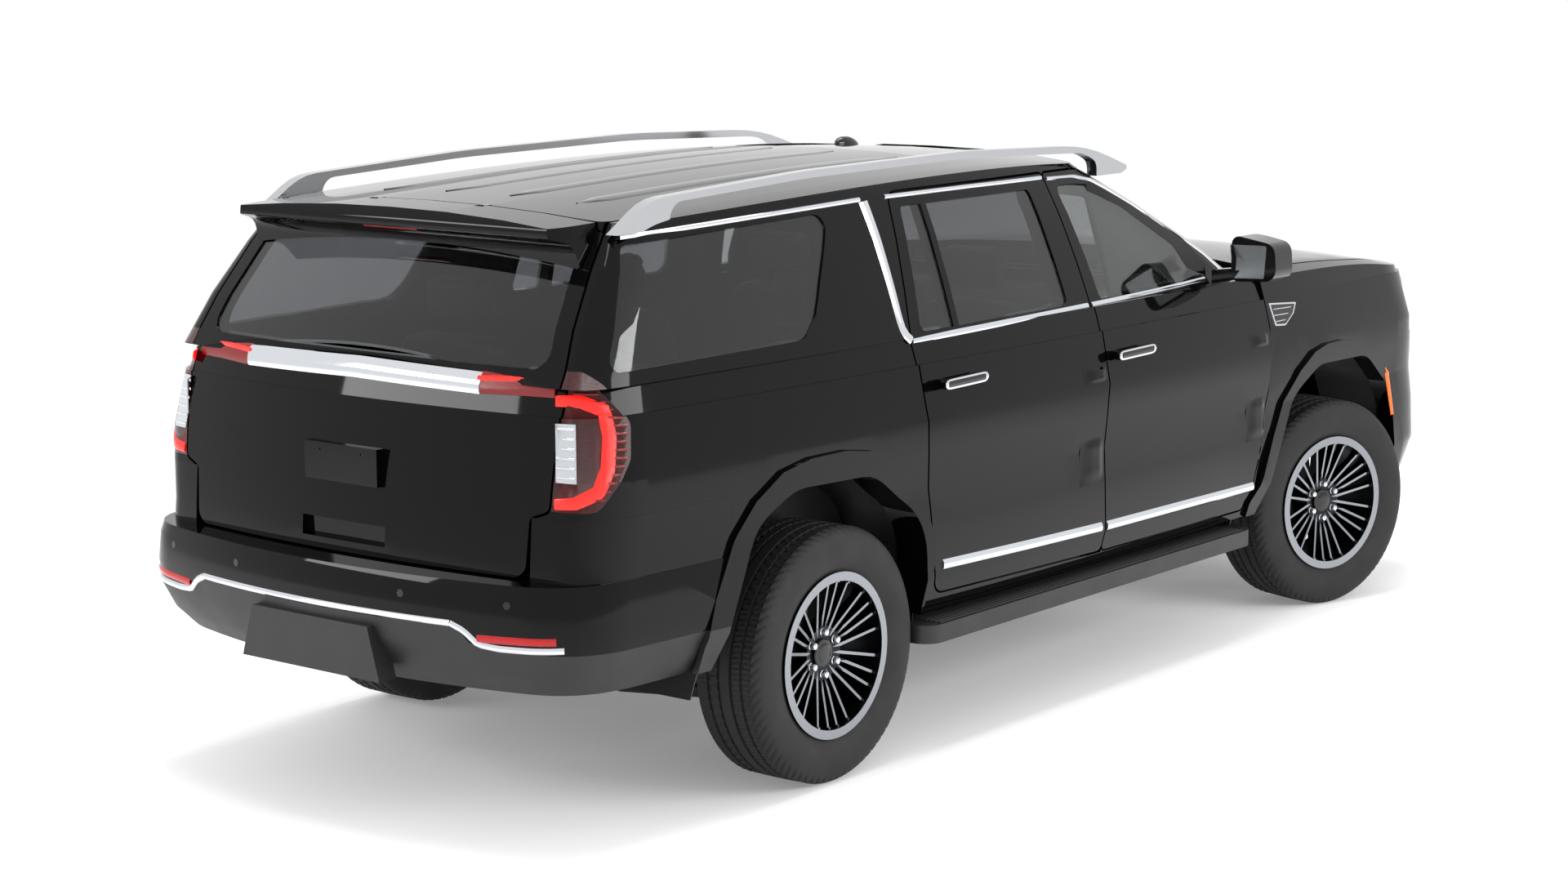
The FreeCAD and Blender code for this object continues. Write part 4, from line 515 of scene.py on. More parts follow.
# %% [markdown]
# ## Wheels
# The CAD wheel already has its spokes. On the real one the outer faces are cut bright on a lathe
# and the pockets between them stay dark grey, so the faces of the mesh that look outward and lie
# on the dished front take a second finish. Chromed nuts and a plain cap close the middle.

# %% Bright faces on the wheels
FACE_TURN, FACE_RADII, FACE_DEPTH = 0.85, (0.089, 0.272), 0.06


def bright_faces(label, side):
    """Gives the second finish to faces that look outward, by their middles and directions."""
    centre, _, outward = wheel_frame(label, side)
    data = nodes[f"rim_{label}"].data
    count = len(data.polygons)
    facing, middle = np.empty(count * 3), np.empty(count * 3)
    data.polygons.foreach_get("normal", facing)
    data.polygons.foreach_get("center", middle)
    offset = middle.reshape(-1, 3) - centre
    depth = offset @ outward
    radius = np.linalg.norm(offset - depth[:, None] * outward, axis=1)
    cut = ((facing.reshape(-1, 3) @ outward > FACE_TURN) & (depth > FACE_DEPTH)
           & (radius > FACE_RADII[0]) & (radius < FACE_RADII[1]))
    data.materials.append(alloy_face)
    data.polygons.foreach_set("material_index", cut.astype(np.int32))
    return int(cut.sum())


print("bright faces", [bright_faces(label, side) for label, side in WHEELS])

# %% Caps and nuts
CAP = [(0.040, 0.038), (0.040, 0.058), (0.047, 0.066), (0.047, 0.071), (0.043, 0.0745),
       (0.036, 0.074), (0.032, 0.0755), (0.02, 0.077), (0.006, 0.0775)]
NUT = [(0.0145, 0.060), (0.0145, 0.069), (0.0125, 0.0715), (0.0125, 0.083), (0.010, 0.087),
       (0.004, 0.089)]
NUT_CIRCLE, NUTS, FIRST_NUT, CAP_SIDES, NUT_SIDES = 0.0699, 6, 30, 32, 18


def turned(name, label, side, spot, profile, sides, coat):
    """A profile of (radius, out) turned about a line along the axle through spot, which is
    (radius, angle) on the wheel, and closed at both ends."""
    centre, forward, outward = wheel_frame(label, side)
    radius, turn = spot
    middle = centre + radius * (math.cos(turn) * forward + math.sin(turn) * UP)
    profile = np.array(profile)
    angle = 2 * math.pi * np.arange(sides) / sides
    spoke = np.cos(angle)[:, None] * forward + np.sin(angle)[:, None] * UP
    rings = middle + profile[:, None, :1] * spoke[None] + profile[:, None, 1:] * outward
    tube(name, rings, coat, f"wheel_{label}", crease=35)


for label, side in WHEELS:
    turned(f"wheel_cap_{label}", label, side, (0, 0), CAP, CAP_SIDES, GLOSS)
    for index in range(NUTS):
        spot = (NUT_CIRCLE, math.radians(FIRST_NUT + 360 * index / NUTS))
        turned(f"wheel_nut_{label}_{index}", label, side, spot, NUT, NUT_SIDES, BRIGHT)
print("caps and nuts", len(WHEELS) * (1 + NUTS))

# %% [markdown]
# ## Bright trim on the sides
# Polished strips run under the side glass, down the pillar behind the rear door, along the top
# of the glass, and low on the doors. Each strip ends at its own door's edge, so that it swings
# with the door.

# %% Side strips
BELT, PILLAR = crowned(0.0105, 0.005), crowned(0.024, 0.006)
DRIP, LOWER = crowned(0.008, 0.006), crowned(0.0175, 0.007)
STRIPS = (
    ("belt_front_door", "door_front", BELT, 3, [(0.052, 1.394), (0.49, 1.399), (0.905, 1.408)]),
    ("belt_rear_door", "door_rear", BELT, 3, [(-1.050, 1.382), (-0.5, 1.389), (0.026, 1.394)]),
    ("pillar_strip", "body_side", PILLAR, 4,
     [(-1.146, 1.838), (-1.128, 1.72), (-1.112, 1.56), (-1.103, 1.46), (-1.094, 1.42),
      (-1.078, 1.396), (-1.064, 1.386)]),
    ("drip_quarter", "body_side", DRIP, 3, [(-2.30, 1.808), (-1.79, 1.826), (-1.168, 1.846)]),
    ("drip_rear_door", "door_rear", DRIP, 3, [(-1.03, 1.846), (-0.55, 1.849), (-0.05, 1.848)]),
    ("drip_front_door", "door_front", DRIP, 6,
     [(-0.018, 1.842), (0.18, 1.838), (0.29, 1.819), (0.38, 1.784), (0.54, 1.711), (0.70, 1.631),
      (0.86, 1.551), (0.95, 1.503), (1.02, 1.455), (1.07, 1.42)]),
    ("lower_rear_door", "door_rear", LOWER, 3, [(-0.956, 0.624), (-0.45, 0.612), (0.018, 0.603)]),
    ("lower_front_door", "door_front", LOWER, 3, [(0.052, 0.602), (0.6, 0.596), (1.13, 0.589)]),
)
BODY_OF = {"door_front": "front_{}_door", "door_rear": "rear_{}_door", "body_side": "vehicle"}
TAPER = {"pillar_strip": 0.3}
SIDE_Y, STRIP_SPACING = -1.0, 0.025


def side_line(corners):
    """Corners given as (x, z) in the side view, put in a plane beside the right-hand side."""
    return [(x, SIDE_Y, z) for x, z in corners]


for label, side in SIDES:
    trees = {panel: skin(f"{panel}_{label}") for panel in BODY_OF}
    for name, panel, section, calm, corners in STRIPS:
        strip_on(f"{name}_{label}", trees[panel], spread(side_line(corners), STRIP_SPACING, side),
                 (0, -side, 0), section, BRIGHT, BODY_OF[panel].format(label), calm,
                 width=lambda share: 1 - TAPER.get(name, 0) * share)
print("side strips", 2 * len(STRIPS))

# %% [markdown]
# ## Wing vents and side markers
# Behind each front wheel is a black vent in a polished frame with three bright slats. It is a
# plate in the shape of the frame with a smaller black plate on it. An amber marker wraps the
# front corner as one tapering strip.

# %% Vents
PLATE_SPACING, PLATE_MIDDLE, PLATE_SUNK = 0.012, 0.04, 0.002
VENT = np.array([(1.262, 1.288), (1.486, 1.272), (1.452, 1.232), (1.372, 1.192),
                 (1.290, 1.198), (1.262, 1.288)])
VENT_MIDDLE = VENT[:-1].mean(axis=0)
VENT_FIELD = VENT_MIDDLE + (VENT - VENT_MIDDLE) * 0.86
FRAME_THICK, FIELD_THICK = 0.005, 0.0065
SLAT_REAR, SLAT_REAR_STEP = np.array((1.286, 1.262)), np.array((0.004, -0.024))
SLAT_FRONT, SLAT_FRONT_STEP = np.array((1.43, 1.258)), np.array((-0.03, -0.022))
SLATS = 3


def plate_on(name, tree, outline, look, side, thick, coat, body="vehicle", rings=5):
    """A thin plate on the skin: the outline shrinks ring by ring to its middle, and each ring is
    settled on the skin and lifted by a thickness. A first ring lies sunk under the edge."""
    corners = spread(outline, PLATE_SPACING)[:-1]
    middle = corners.mean(axis=0)
    share = np.linspace(1, PLATE_MIDDLE, rings)[:, None, None]
    wanted = mirrored(middle + share * (corners - middle), side)
    layers = np.array([settle(tree, ring, look) for ring in wanted])
    place, facing = layers[:, 0], layers[:, 1]
    base = place[:1] - facing[:1] * PLATE_SUNK
    tube(name, np.concatenate([base, place + facing * thick]), coat, body)


for label, side in SIDES:
    fender, look = skin(f"fender_{label}"), (0, -side, 0)
    plate_on(f"vent_frame_{label}", fender, side_line(VENT), look, side, FRAME_THICK, BRIGHT)
    plate_on(f"vent_field_{label}", fender, side_line(VENT_FIELD), look, side, FIELD_THICK, GLOSS)
    for index in range(SLATS):
        slat = [SLAT_REAR + index * SLAT_REAR_STEP, SLAT_FRONT + index * SLAT_FRONT_STEP]
        strip_on(f"vent_slat_{label}_{index}", fender, spread(side_line(slat), 0.012, side), look,
                 crowned(0.0035, 0.010), BRIGHT)
print("vents", len(SIDES))

# %% Side markers
amber = acrylic("amber_acrylic", "FF6A08", glow=0.12)
MARKER, MARKER_TAPER = [(2.289, 0.918), (2.315, 0.83), (2.353, 0.719)], 0.4
for label, side in SIDES:
    strip_on(f"side_marker_{label}", skin("front_bumper", f"fender_{label}"),
             spread(side_line(MARKER), 0.02, side), (0, -side, 0), crowned(0.017, 0.006),
             (amber, "lamp_red"), width=lambda share: 1 - MARKER_TAPER * share)
print("markers", amber.name)

# %% [markdown]
# ## Door pulls and mirror glass
# The CAD door already has the pull as a bar. Its outer face is gloss black inside a thin bright
# surround, so one strip lies on the bar and a narrower, shorter one on that. The mirror is
# silvered glass, a flat plate in the housing's open side.

# %% Pulls
PULLS = (("front", 0.19, 1.218), ("rear", -0.87, 1.236))
PULL_HALF, PULL_RISE, PULL_INNER = 0.124, 0.004, slice(3, -3)
ROUND_POWER, ROUND_LEAST = 12, 0.05
for label, side in SIDES:
    for door, x, z in PULLS:
        body = f"{door}_{label}_door"
        line = spread(side_line([(x - PULL_HALF, z), (x + PULL_HALF, z + PULL_RISE)]), 0.006, side)
        place, facing = settle(skin(f"door_{door}_{label}"), line, (0, -side, 0), calm=1)
        across = np.linspace(-1, 1, len(place))
        rounded_end = np.sqrt(np.clip(1 - np.abs(across) ** ROUND_POWER, ROUND_LEAST, 1))
        sweep(f"pull_surround_{door}_{label}", place, facing, rounded_end,
              crowned(0.0172, 0.0012), BRIGHT, body)
        sweep(f"pull_pad_{door}_{label}", place[PULL_INNER], facing[PULL_INNER],
              rounded_end[PULL_INNER], crowned(0.0125, 0.0032), GLOSS, body)
print("pulls", 2 * len(PULLS))

# %% Mirror glass
silvered = drawn_metal("silvered_mirror_glass", "E6E9EC", 0.18, 0.26, 200, 200)
MIRROR_X, MIRROR_THICK = 0.80, 0.002
MIRROR = [(MIRROR_X, -1.02, 1.425), (MIRROR_X, -1.18, 1.432), (MIRROR_X, -1.188, 1.555),
          (MIRROR_X, -1.03, 1.552), (MIRROR_X, -1.02, 1.425)]
for label, side in SIDES:
    plate_on(f"mirror_glass_{label}", skin(f"mirror_{label}"), MIRROR, (1, 0, 0), side,
             MIRROR_THICK, (silvered, "bright_trim"), f"front_{label}_door", rings=3)
print("mirrors", silvered.name)

# %% [markdown]
# ## Hinge covers
# The CAD doors have an open room round each hinge, which cuts the outer skin, and the hinge's
# knuckle stands a little out of it. The real door is closed there. A patch of skin is fitted by
# least squares to the panel round the room, and swells over the knuckle.

# %% Covers over the hinge rooms
HINGES = (("front", 1.180, (-0.10, 0.051)), ("rear", -0.018, (-0.10, 0.058)))
HINGE_LEVELS = ((0.852, 0.038, 0.085), (1.158, 0.009, 0.030))
COVER_LIFT, COVER_EDGE, COVER_THICK, KNUCKLE_HALF = 0.0052, 0.0004, 0.003, 0.014
COVER_GRID, COVER_KEEP, COVER_FITS, INNER_WALL = (31, 25), 85, 2, 0.02


def bowed(x, z):
    """The terms of a surface that is curved once each way: 1, x, z, x squared, xz, z squared."""
    return np.stack([np.ones_like(x), x, z, x * x, x * z, z * z], -1)


def eased(distance, flat, far):
    """1 up to flat, 0 from far on, and half a cosine wave between them."""
    return 0.5 + 0.5 * np.cos(math.pi * np.clip((distance - flat) / (far - flat), 0, 1))


def hinge_cover(name, tree, pin_x, ends, level, flat, far, side, body):
    """A thin cover over a hinge's room: a bowed surface fitted to the skin round it, without the
    points that stray most, plus a swelling that dies out at its edges."""
    x, z = np.meshgrid(pin_x + np.linspace(*ends, COVER_GRID[0]),
                       level + np.linspace(-far, far, COVER_GRID[1]), indexing="ij")
    hits = [tree.ray_cast((px, side * REACH * 3, pz), (0, -side, 0), REACH * 2)
            for px, pz in zip(x.ravel(), z.ravel())]
    skin_y = np.array([np.nan if hit[0] is None else abs(hit[0].y) for hit in hits])
    skin_y[skin_y < np.nanmedian(skin_y) - INNER_WALL] = np.nan
    off = x - pin_x
    terms = bowed(off, z - level).reshape(-1, 6)
    good = ~np.isnan(skin_y)
    for _ in range(COVER_FITS):
        fit = np.linalg.lstsq(terms[good], skin_y[good], rcond=None)[0]
        stray = np.abs(terms @ fit - skin_y)
        good &= stray <= np.nanpercentile(stray, COVER_KEEP)
    swell = eased(np.abs(off), KNUCKLE_HALF, np.where(off < 0, -ends[0], ends[1]))
    swell = swell * eased(np.abs(z - level), flat, far)
    y = (terms @ fit).reshape(x.shape) + COVER_EDGE + COVER_LIFT * swell
    outer = np.stack([x, side * y, z], -1)
    inner = (outer - (0, side * COVER_THICK, 0))[:, ::-1]
    tube(name, np.concatenate([outer, inner], axis=1), PAINTED, body, crease=60)


for label, side in SIDES:
    for door, pin_x, ends in HINGES:
        panel = skin(f"door_{door}_{label}")
        for index, (level, flat, far) in enumerate(HINGE_LEVELS):
            hinge_cover(f"hinge_cover_{door}_{label}_{index}", panel, pin_x, ends, level, flat, far,
                        side, f"{door}_{label}_door")
print("hinge covers", len(SIDES) * len(HINGES) * len(HINGE_LEVELS))

# %% [markdown]
# ## Wheel arch liners
# A moulded liner follows each wheel opening a little outside its edge, from the skin inward past
# the tyre, so that nothing can be looked through above the wheel. It is a flat wall of four
# corners carried along the opening's line.

# %% Arch liners
LINER_IN, REAR_LINER_IN, LINER_OUT, LINER_WALL, LINER_SPACING = 0.64, 0.68, 0.945, 1.008, 0.03
FRONT_LINER = [(-0.80, 0.42), (-0.61, 0.74), (-0.45, 0.93), (-0.26, 1.022), (-0.02, 1.026),
               (0.20, 1.014), (0.42, 0.90), (0.51, 0.72), (0.54, 0.42)]
REAR_LINER = [(-0.67, 0.40), (-0.52, 0.74), (-0.41, 0.92), (-0.23, 1.004), (0.0, 1.008),
              (0.19, 0.998), (0.42, 0.86), (0.48, 0.68), (0.485, 0.40)]


def arch_liner(end, label, side, line, inner):
    """A sheet along a wheel opening, given as (x, z) with x from the axle. Its wall is the same
    line made larger about the axle."""
    centre = wheel_frame(f"{end}_{label}", side)[0] * (1, 0, 1)
    path = smoothed(spread([(x, 0, z) for x, z in line], LINER_SPACING)) + centre * (1, 0, 0)
    wall = (path - centre) * LINER_WALL + centre
    inward, outward = np.array([0, inner * side, 0]), np.array([0, LINER_OUT * side, 0])
    rings = np.stack([path + inward, path + outward, wall + outward, wall + inward], 1)
    tube(f"arch_liner_{end}_{label}", rings, MATT)


for label, side in SIDES:
    arch_liner("front", label, side, FRONT_LINER, LINER_IN)
    arch_liner("rear", label, side, REAR_LINER, REAR_LINER_IN)
print("arch liners", 2 * len(SIDES))

# %% [markdown]
# ## Tail lamps
# Each lamp is one outer lens over several chambers. A lit red light guide bends round in the
# shape of a C, a clear reversing chamber with bright bars is inboard of it, and the outer part is
# a darker ribbed red. The bands lie on the lamp's own solid, so they keep its wrapped corner.

# %% Lamp bands and chambers
smoked_red = acrylic("smoked_ribbed_red_lens", "3A0406", pitch_mm=9.0, depth_mm=1.2)
CORNER_LOOK = np.array((0.72, 0.69, 0.0))
GUIDE = [(-2.66, -0.835, 1.355), (-2.60, -0.88, 1.352), (-2.555, -0.93, 1.325),
         (-2.55, -0.945, 1.25), (-2.56, -0.945, 1.16), (-2.59, -0.935, 1.095),
         (-2.64, -0.885, 1.062), (-2.67, -0.835, 1.056)]
GUIDE_END, GUIDE_SWELL = 0.75, 0.35
REVERSE = [(-2.66, -0.832, 1.29), (-2.63, -0.885, 1.29), (-2.63, -0.885, 1.12),
           (-2.66, -0.832, 1.12), (-2.66, -0.832, 1.29)]
BAR_LEVELS, RIB_LEVELS = np.linspace(1.135, 1.275, 6), np.linspace(1.075, 1.375, 14)
BAR_IN, BAR_OUT = (-2.66, -0.834), (-2.632, -0.882)
LAMP_EDGE_Z, LAMP_EDGE_X = (1.04, 1.18, 1.285, 1.40), (-2.575, -2.465, -2.442, -2.515)
RIB_INSET, RIB_LENGTH, RIB_FALL, RIB_IN_Y, RIB_OUT_Y = 0.014, 0.055, 0.004, -0.955, -0.962
lamp = skin("tail_lamps")
for label, side in SIDES:
    look = CORNER_LOOK * (1, -side, 1)
    strip_on(f"light_guide_{label}", lamp, spread(GUIDE, 0.012, side), look, crowned(0.021, 0.004),
             LIT, width=lambda share: GUIDE_END + GUIDE_SWELL * np.sin(math.pi * share))
    plate_on(f"reverse_chamber_{label}", lamp, REVERSE, look, side, 0.0015,
             (clear_lens, "lamp_clear"), rings=3)
    for index, z in enumerate(BAR_LEVELS):
        strip_on(f"reverse_bar_{label}_{index}", lamp,
                 spread([(*BAR_IN, z), (*BAR_OUT, z)], 0.01, side), look, crowned(0.0045, 0.004),
                 BRIGHT)
    for index, z in enumerate(RIB_LEVELS):
        edge = np.interp(z, LAMP_EDGE_Z, LAMP_EDGE_X) - RIB_INSET
        rib = [(edge - RIB_LENGTH, RIB_IN_Y, z), (edge, RIB_OUT_Y, z - RIB_FALL)]
        strip_on(f"lens_rib_{label}_{index}", lamp, spread(rib, 0.01, side), (0, -side, 0),
                 crowned(0.004, 0.003), RED)
dress("tail_lamps", smoked_red)
print("tail lamps", len(BAR_LEVELS), "bars", len(RIB_LEVELS), "ribs a side")

# %% [markdown]
# ## Tailgate
# A bright bar crosses the tailgate between two red lamp inserts, each with a lit line along its
# top. They bridge the step under the rear window, so their lines are settled on the gate just
# below that step and then raised along its slope. The high brake lamp is a strip near the top.

# %% Tailgate bar and lamps
REAR_X, BACK_LOOK = -2.9, (1, 0, 0)
GATE_RISE, GUIDE_RISE = np.array((0.005, 0, 0.021)), np.array((0.003, 0, 0.012))
BAR_HALF, BAR_THIN, INSERT_SPREAD = 0.503, 0.06, 0.15
GATE_BAR = [(-BAR_HALF, 1.363), (0, 1.373), (BAR_HALF, 1.363)]
INSERT = [(-0.494, 1.364), (-0.65, 1.373), (-0.765, 1.376)]
BRAKE_LAMP = [(-0.115, 1.807), (0.115, 1.807)]


def back_line(corners):
    """Corners given as (y, z) in the rear view, put in a plane behind the car."""
    return [(REAR_X, y, z) for y, z in corners]


gate = skin("tailgate")
strip_on("tailgate_bar", gate, spread(back_line(GATE_BAR), 0.03), BACK_LOOK,
         crowned(0.034, 0.012, 0.012, 11), BRIGHT, "liftgate", calm=2, shift=GATE_RISE,
         width=lambda share: 1 - BAR_THIN * (BAR_HALF * (2 * share - 1)) ** 2)
for label, side in SIDES:
    insert = spread(back_line(INSERT), 0.02, side)
    strip_on(f"gate_lamp_{label}", gate, insert, BACK_LOOK, crowned(0.034, 0.010, 0.012), RED,
             "liftgate", calm=2, shift=GATE_RISE, width=lambda share: 1 + INSERT_SPREAD * share)
    strip_on(f"gate_light_guide_{label}", gate, insert, BACK_LOOK, crowned(0.011, 0.014), LIT,
             "liftgate", calm=2, shift=GATE_RISE + GUIDE_RISE)
strip_on("high_brake_lamp", skin("rear_spoiler", "tailgate", "tailgate_glass"),
         spread(back_line(BRAKE_LAMP), 0.02), BACK_LOOK, crowned(0.009, 0.004), RED, "liftgate")
print("tailgate bar and lamps")

# %% [markdown]
# ## Rear bumper
# The bumper carries a bright strip that steps down at its ends, two long red reflectors and four
# round sensors. The reflectors' red has a faint painted glow, an emission that stands in for the
# light their prisms send back.

# %% Bumper strip, reflectors and sensors
# The reflector's emission is a painted glow: it stands in for lamp light sent back by the prisms.
red_reflector_painted_glow = acrylic("red_reflector_painted_glow", "A8060A", glow=0.22)
BUMPER_STRIP = crowned(0.0105, 0.006)
STRIP_MIDDLE = [(-0.54, 0.694), (0, 0.694), (0.54, 0.694)]
STRIP_END = [(-0.54, 0.694), (-0.585, 0.676), (-0.63, 0.638), (-0.70, 0.632), (-0.80, 0.634),
             (-0.885, 0.637)]
REFLECTOR = [(-0.63, 0.657), (-0.76, 0.661), (-0.87, 0.664)]
SENSORS, SENSOR_R, SENSOR_CORNERS = ((-0.36, 0.765), (-0.73, 0.765)), 0.013, 17
bumper = skin("rear_bumper", "rear_valance")
for label, side in SIDES:
    strip_on(f"rear_reflector_{label}", bumper, spread(back_line(REFLECTOR), 0.02, side), BACK_LOOK,
             crowned(0.012, 0.005), (red_reflector_painted_glow, "lamp_red"))
    strip_on(f"bumper_strip_end_{label}", bumper, spread(back_line(STRIP_END), 0.02, side),
             BACK_LOOK, BUMPER_STRIP, BRIGHT)
    for index, (y, z) in enumerate(SENSORS):
        ring = [(y + SENSOR_R * math.cos(turn), z + SENSOR_R * math.sin(turn))
                for turn in np.linspace(0, 2 * math.pi, SENSOR_CORNERS)]
        plate_on(f"parking_sensor_{label}_{index}", bumper, back_line(ring), BACK_LOOK, side,
                 0.0012, GLOSS, rings=3)
strip_on("bumper_strip", bumper, spread(back_line(STRIP_MIDDLE), 0.03), BACK_LOOK, BUMPER_STRIP,
         BRIGHT)
print("bumper", red_reflector_painted_glow.name)

# %% [markdown]
# ## Running board treads
# The steps are moulded with long ribs for grip. The sheet's height is a rounded square wave
# across the board, so a real edge catches the light where a bump would look flat.

# %% Ribbed treads
DOWN = (0, 0, -1)
TREAD_X, TREAD_Y, TREAD_Z, TREAD_RIBS, TREAD_PROUD = (-1.0, 1.02), (1.035, 0.90), 0.5, 7, 0.003
TREAD_STEPS, RIB_STEPS, TREAD_SUNK, WAVE_GAIN, RIB_LEAST = 41, 6, 0.002, 1.2, 0.25


def board_tread(name, tree, side):
    """A sheet of ribs on an upward face, with its rows along X: the height over the face's middle
    level is a sine wave across the board, raised by a gain and clipped to a rounded square."""
    across = np.linspace(0, 1, TREAD_RIBS * RIB_STEPS + 1)
    wave = 0.5 + WAVE_GAIN * np.sin(2 * math.pi * TREAD_RIBS * across - math.pi / 2)
    height = TREAD_PROUD * (RIB_LEAST + (1 - RIB_LEAST) * np.clip(wave, 0, 1))
    a, b = np.meshgrid(np.linspace(0, 1, TREAD_STEPS), across, indexing="ij")
    x, y = TREAD_X[0] + np.ptp(TREAD_X) * a, side * (TREAD_Y[0] - np.ptp(TREAD_Y) * b)
    rows = np.stack([x, y, np.full_like(x, TREAD_Z)], -1)
    level = np.array([np.median(settle(tree, row, DOWN)[0][:, 2]) for row in rows])[:, None]
    top = np.stack([x, y, level + height], -1)
    base = np.stack([x, y, level - TREAD_SUNK + 0 * x], -1)
    tube(name, np.concatenate([top, base[:, ::-1]], axis=1), MATT)


boards = skin("running_boards")
for label, side in SIDES:
    board_tread(f"board_tread_{label}", boards, side)
print("treads", len(SIDES))

# %% [markdown]
# ## Roof
# The long roof has pressed ribs, a glass panel over the front seats and a small aerial. The CAD
# panel is smooth, so the ribs are low crowned ridges on it that narrow at both ends.

# %% Roof ribs
ROOF_RIBS, RIB_RUN, ROOF_Z = (-0.42, -0.14, 0.14, 0.42), (-2.1, -0.42), 1.9
RIB_FADE, RIB_TIP = 5, 0.1
roof = skin("roof_panel", "fixed_glass")
for index, y in enumerate(ROOF_RIBS):
    strip_on(f"roof_rib_{index}", roof, spread([(x, y, ROOF_Z) for x in RIB_RUN], 0.06), DOWN,
             crowned(0.045, 0.003, sunk=0.002), PAINTED,
             width=lambda share: np.clip(np.sin(share * math.pi) * RIB_FADE, RIB_TIP, 1))
print("roof ribs", len(ROOF_RIBS))

# %% Aerial
AERIAL_X, AERIAL_Y, AERIAL_LONG, AERIAL_WIDE, AERIAL_HIGH = 0.33, 0.36, 0.07, 0.026, 0.036
AERIAL_LEAN, AERIAL_SUNK, AERIAL_TAPER, AERIAL_GRID = 0.02, 0.002, (0.9, 0.95), (9, 33)


def aerial():
    """A small fin: ellipses stacked upward, each shorter, narrower and further back."""
    level = np.linspace(0, 1, AERIAL_GRID[0])[:, None]
    turn = np.linspace(0, 2 * math.pi, AERIAL_GRID[1])[None, :-1]
    long = AERIAL_LONG * np.sqrt(1 - AERIAL_TAPER[0] * level ** 2)
    wide = AERIAL_WIDE * np.sqrt(1 - AERIAL_TAPER[1] * level ** 2)
    x = AERIAL_X + long * np.cos(turn) - AERIAL_LEAN * level
    y = AERIAL_Y + wide * np.sin(turn)
    foot = settle(roof, np.array([(AERIAL_X, AERIAL_Y, ROOF_Z)] * 3), DOWN)[0][0, 2] - AERIAL_SUNK
    z = foot + AERIAL_HIGH * level + 0 * turn
    return tube("roof_aerial", np.stack([x, y, z], -1), GLOSS, crease=50)


print("aerial", aerial().name)

# %% [markdown]
# ## Seats
# Foam cushions under leather. Each is a rounded block whose faces crown in the middle and whose
# sides pull in between the corners, with sewn channels across it. The seat's plain CAD solid is
# hidden, and the cushions stand where it is.

# %% Cushions
CROWN, CHANNEL_DEPTH, CHANNEL_WIDTH, CHANNEL_FACE, SQUARENESS = 0.12, 0.07, 0.035, 0.6, 0.32
CUSHION_GRID = (41, 97)


def rounded(value):
    """A sine or cosine to a power under 1, with its sign kept, which squares a circle."""
    return np.sign(value) * np.abs(value) ** SQUARENESS


def cushion(name, middle, size, lean, channels):
    """A superellipsoid of two angles, crowned in its middle, with narrow channels pressed in."""
    u = np.linspace(-math.pi / 2, math.pi / 2, CUSHION_GRID[0])[:, None]
    v = np.linspace(-math.pi, math.pi, CUSHION_GRID[1])[None, :-1]
    x = rounded(np.cos(u)) * rounded(np.cos(v))
    y = rounded(np.cos(u)) * rounded(np.sin(v))
    z = rounded(np.sin(u)) * np.ones_like(v)
    dips = np.zeros_like(x)
    for channel in channels:
        dip = np.exp(-((y - channel) / CHANNEL_WIDTH) ** 2)
        dips += CHANNEL_DEPTH * dip * (np.abs(z) > CHANNEL_FACE)
    z = z * (1 + CROWN * (1 - x ** 2) * (1 - y ** 2) - dips)
    x, y, z = x * size[0] / 2, y * size[1] / 2, z * size[2] / 2 / (1 + CROWN)
    turn = math.radians(lean)
    points = np.stack([middle[0] + x * math.cos(turn) + z * math.sin(turn), middle[1] + y,
                       middle[2] - x * math.sin(turn) + z * math.cos(turn)], -1)
    made = tube(name, points, (seat_leather, "upholstery"), crease=60)
    return made


print("cushion squareness", SQUARENESS)

# %% Three rows of seats
SEATS = (("front_seats", 0.33, (-0.70, -0.20), "front_right"),
         ("front_seats", 0.33, (0.20, 0.70), "front_left"),
         ("rear_seats", -0.64, (-0.69, -0.19), "middle_right"),
         ("rear_seats", -0.64, (0.19, 0.69), "middle_left"),
         ("rear_seats", -1.56, (-0.61, -0.005), "back_right"),
         ("rear_seats", -1.56, (0.0, 0.61), "back_left"))
SEAT_GAP, BACK_NARROWER, SEAMS = 0.01, 0.03, (-0.55, 0.55)
PLINTH_RUN, PLINTH_INSET = (-0.2, 0.17), 0.08
PLINTH_Z, BOARD_Z, THIRD_ROW_X = (0.62, 0.71), (0.73, 0.71), -1


def plinth(label, x, y0, y1):
    """The frame under a seat: a block, or over the third row's raised floor a 20 mm board."""
    (back, front), near, far = x + np.array(PLINTH_RUN), y0 + PLINTH_INSET, y1 - PLINTH_INSET
    corners = ((back, near), (front, near), (front, far), (back, far))
    levels = BOARD_Z if x < THIRD_ROW_X else PLINTH_Z
    rings = np.array([[(*corner, z) for corner in corners] for z in levels])
    tube(f"seat_{label}_plinth", rings, CABIN)


for node, x, (y0, y1), label in SEATS:
    wide, y = y1 - y0 - SEAT_GAP, (y0 + y1) / 2
    parts = (("base", (x, 0.79), (0.53, wide, 0.16), -4, SEAMS, 0.7),
             ("back", (x - 0.252, 1.085), (0.60, wide - BACK_NARROWER, 0.12), -101, SEAMS, 0.6),
             ("head", (x - 0.315, 1.50), (0.15, 0.25, 0.095), -97, (), 0.8))
    for part, (px, pz), size, lean, channels, fill in parts:
        made = cushion(f"seat_{label}_{part}", (px, y, pz), size, lean, channels)
        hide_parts(node)
    plinth(label, x, y0, y1)
print("seats", len(SEATS))

# %% [markdown]
# ## Studio
# The photograph is a studio picture on white. The floor is a pale sheet that takes the shadow,
# and a plain white world lights the car from all round. The floor glows a little where the
# camera, a reflection or glass looks at it, so it ends nearly as white and lights nothing more.

# %% White world
world = bpy.data.worlds.new("studio")
bpy.context.scene.world = world
world.use_nodes = True
background = world.node_tree.nodes["Background"]
background.inputs["Color"].default_value = (1, 1, 1, 1)
background.inputs["Strength"].default_value = 1.0
print("world", world.name)

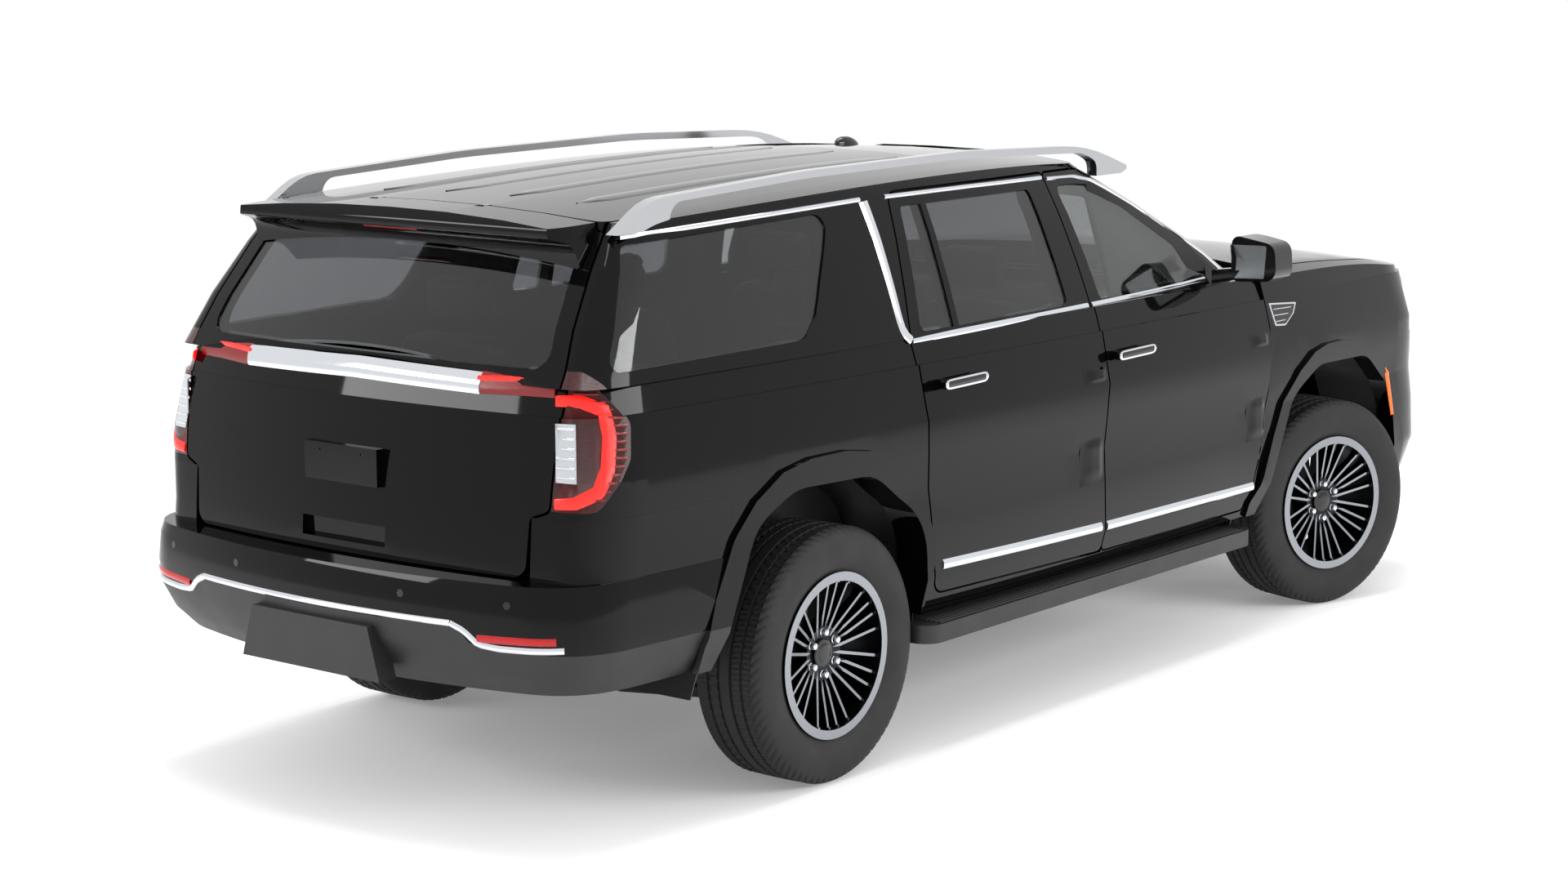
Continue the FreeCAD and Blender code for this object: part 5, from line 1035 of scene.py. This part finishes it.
# %% Pale floor
FLOOR_HALF, FLOOR_GLOW = 60.0, 0.2


def seen(tree):
    """1 where a camera ray, a reflection or a ray through glass looks, and 0 elsewhere."""
    path = add(tree, "ShaderNodeLightPath")
    found = path.outputs["Is Camera Ray"]
    for kind in ("Is Glossy Ray", "Is Transmission Ray"):
        found = add(tree, "ShaderNodeMath", None, {0: found, 1: path.outputs[kind]},
                    operation="MAXIMUM").outputs[0]
    return found


floor_mesh = bpy.data.meshes.new("studio_floor")
corners = np.array([(-1, -1), (1, -1), (1, 1), (-1, 1)]) * FLOOR_HALF
floor_mesh.from_pydata([(x, y, 0.0) for x, y in corners], [], [(0, 1, 2, 3)])
floor = bpy.data.objects.new("studio_floor", floor_mesh)
bpy.context.scene.collection.objects.link(floor)
floor_sheet, floor_tree, floor_shader = finish("pale_floor_sheet", "E8E8E8", 0.9)
glow = add(floor_tree, "ShaderNodeMath", {0: FLOOR_GLOW}, {1: seen(floor_tree)},
           operation="MULTIPLY")
floor_tree.links.new(glow.outputs[0], floor_shader.inputs["Emission Strength"])
floor_shader.inputs["Emission Color"].default_value = (1, 1, 1, 1)
floor_shader.inputs["Specular IOR Level"].default_value = 0.0
floor_mesh.materials.append(floor_sheet)
print("floor", FLOOR_HALF)

# %% [markdown]
# ## Lamps and camera
# A wide soft box hangs over the car, and two upright ones stand at the sides to draw the long
# highlights in the doors and the tailgate. The camera's place and lens were worked out from the
# wheels and the rear end in the photograph.

# %% Soft boxes
def soft_box(name, place, target, width, height, power):
    """An area lamp at place that faces target."""
    data = bpy.data.lights.new(name, "AREA")
    data.shape = "RECTANGLE"
    data.size = width
    data.size_y = height
    data.energy = power
    lamp = bpy.data.objects.new(name, data)
    bpy.context.scene.collection.objects.link(lamp)
    lamp.location = place
    lamp.rotation_euler = (Vector(target) - Vector(place)).to_track_quat("-Z", "Y").to_euler()


SOFT_BOXES = (("over", (0, 0, 6.5), (0, 0, 0), 7.0, 3.5, 450),
              ("side_right", (1.0, -8.0, 4.0), (0, 0, 1.0), 6.0, 2.0, 300),
              ("behind_left", (-8.0, 4.0, 3.5), (-1, 0, 1.0), 3.0, 2.0, 200))
for box in SOFT_BOXES:
    soft_box(*box)
print("soft boxes", len(SOFT_BOXES))

# %% Camera
CAMERA_PLACE = Vector((-9.014, -6.644, 2.685))
CAMERA_AIM = Vector((0.7767, 0.6079, -0.165))
LENS, SENSOR = 69.04, 36.0
camera_data = bpy.data.cameras.new("camera")
camera_data.lens = LENS
camera_data.sensor_width = SENSOR
camera = bpy.data.objects.new("camera", camera_data)
bpy.context.scene.collection.objects.link(camera)
camera.location = CAMERA_PLACE
camera.rotation_euler = CAMERA_AIM.to_track_quat("-Z", "Y").to_euler()
bpy.context.scene.camera = camera
bpy.context.scene.view_settings.view_transform = "Standard"
print("camera", tuple(CAMERA_PLACE))
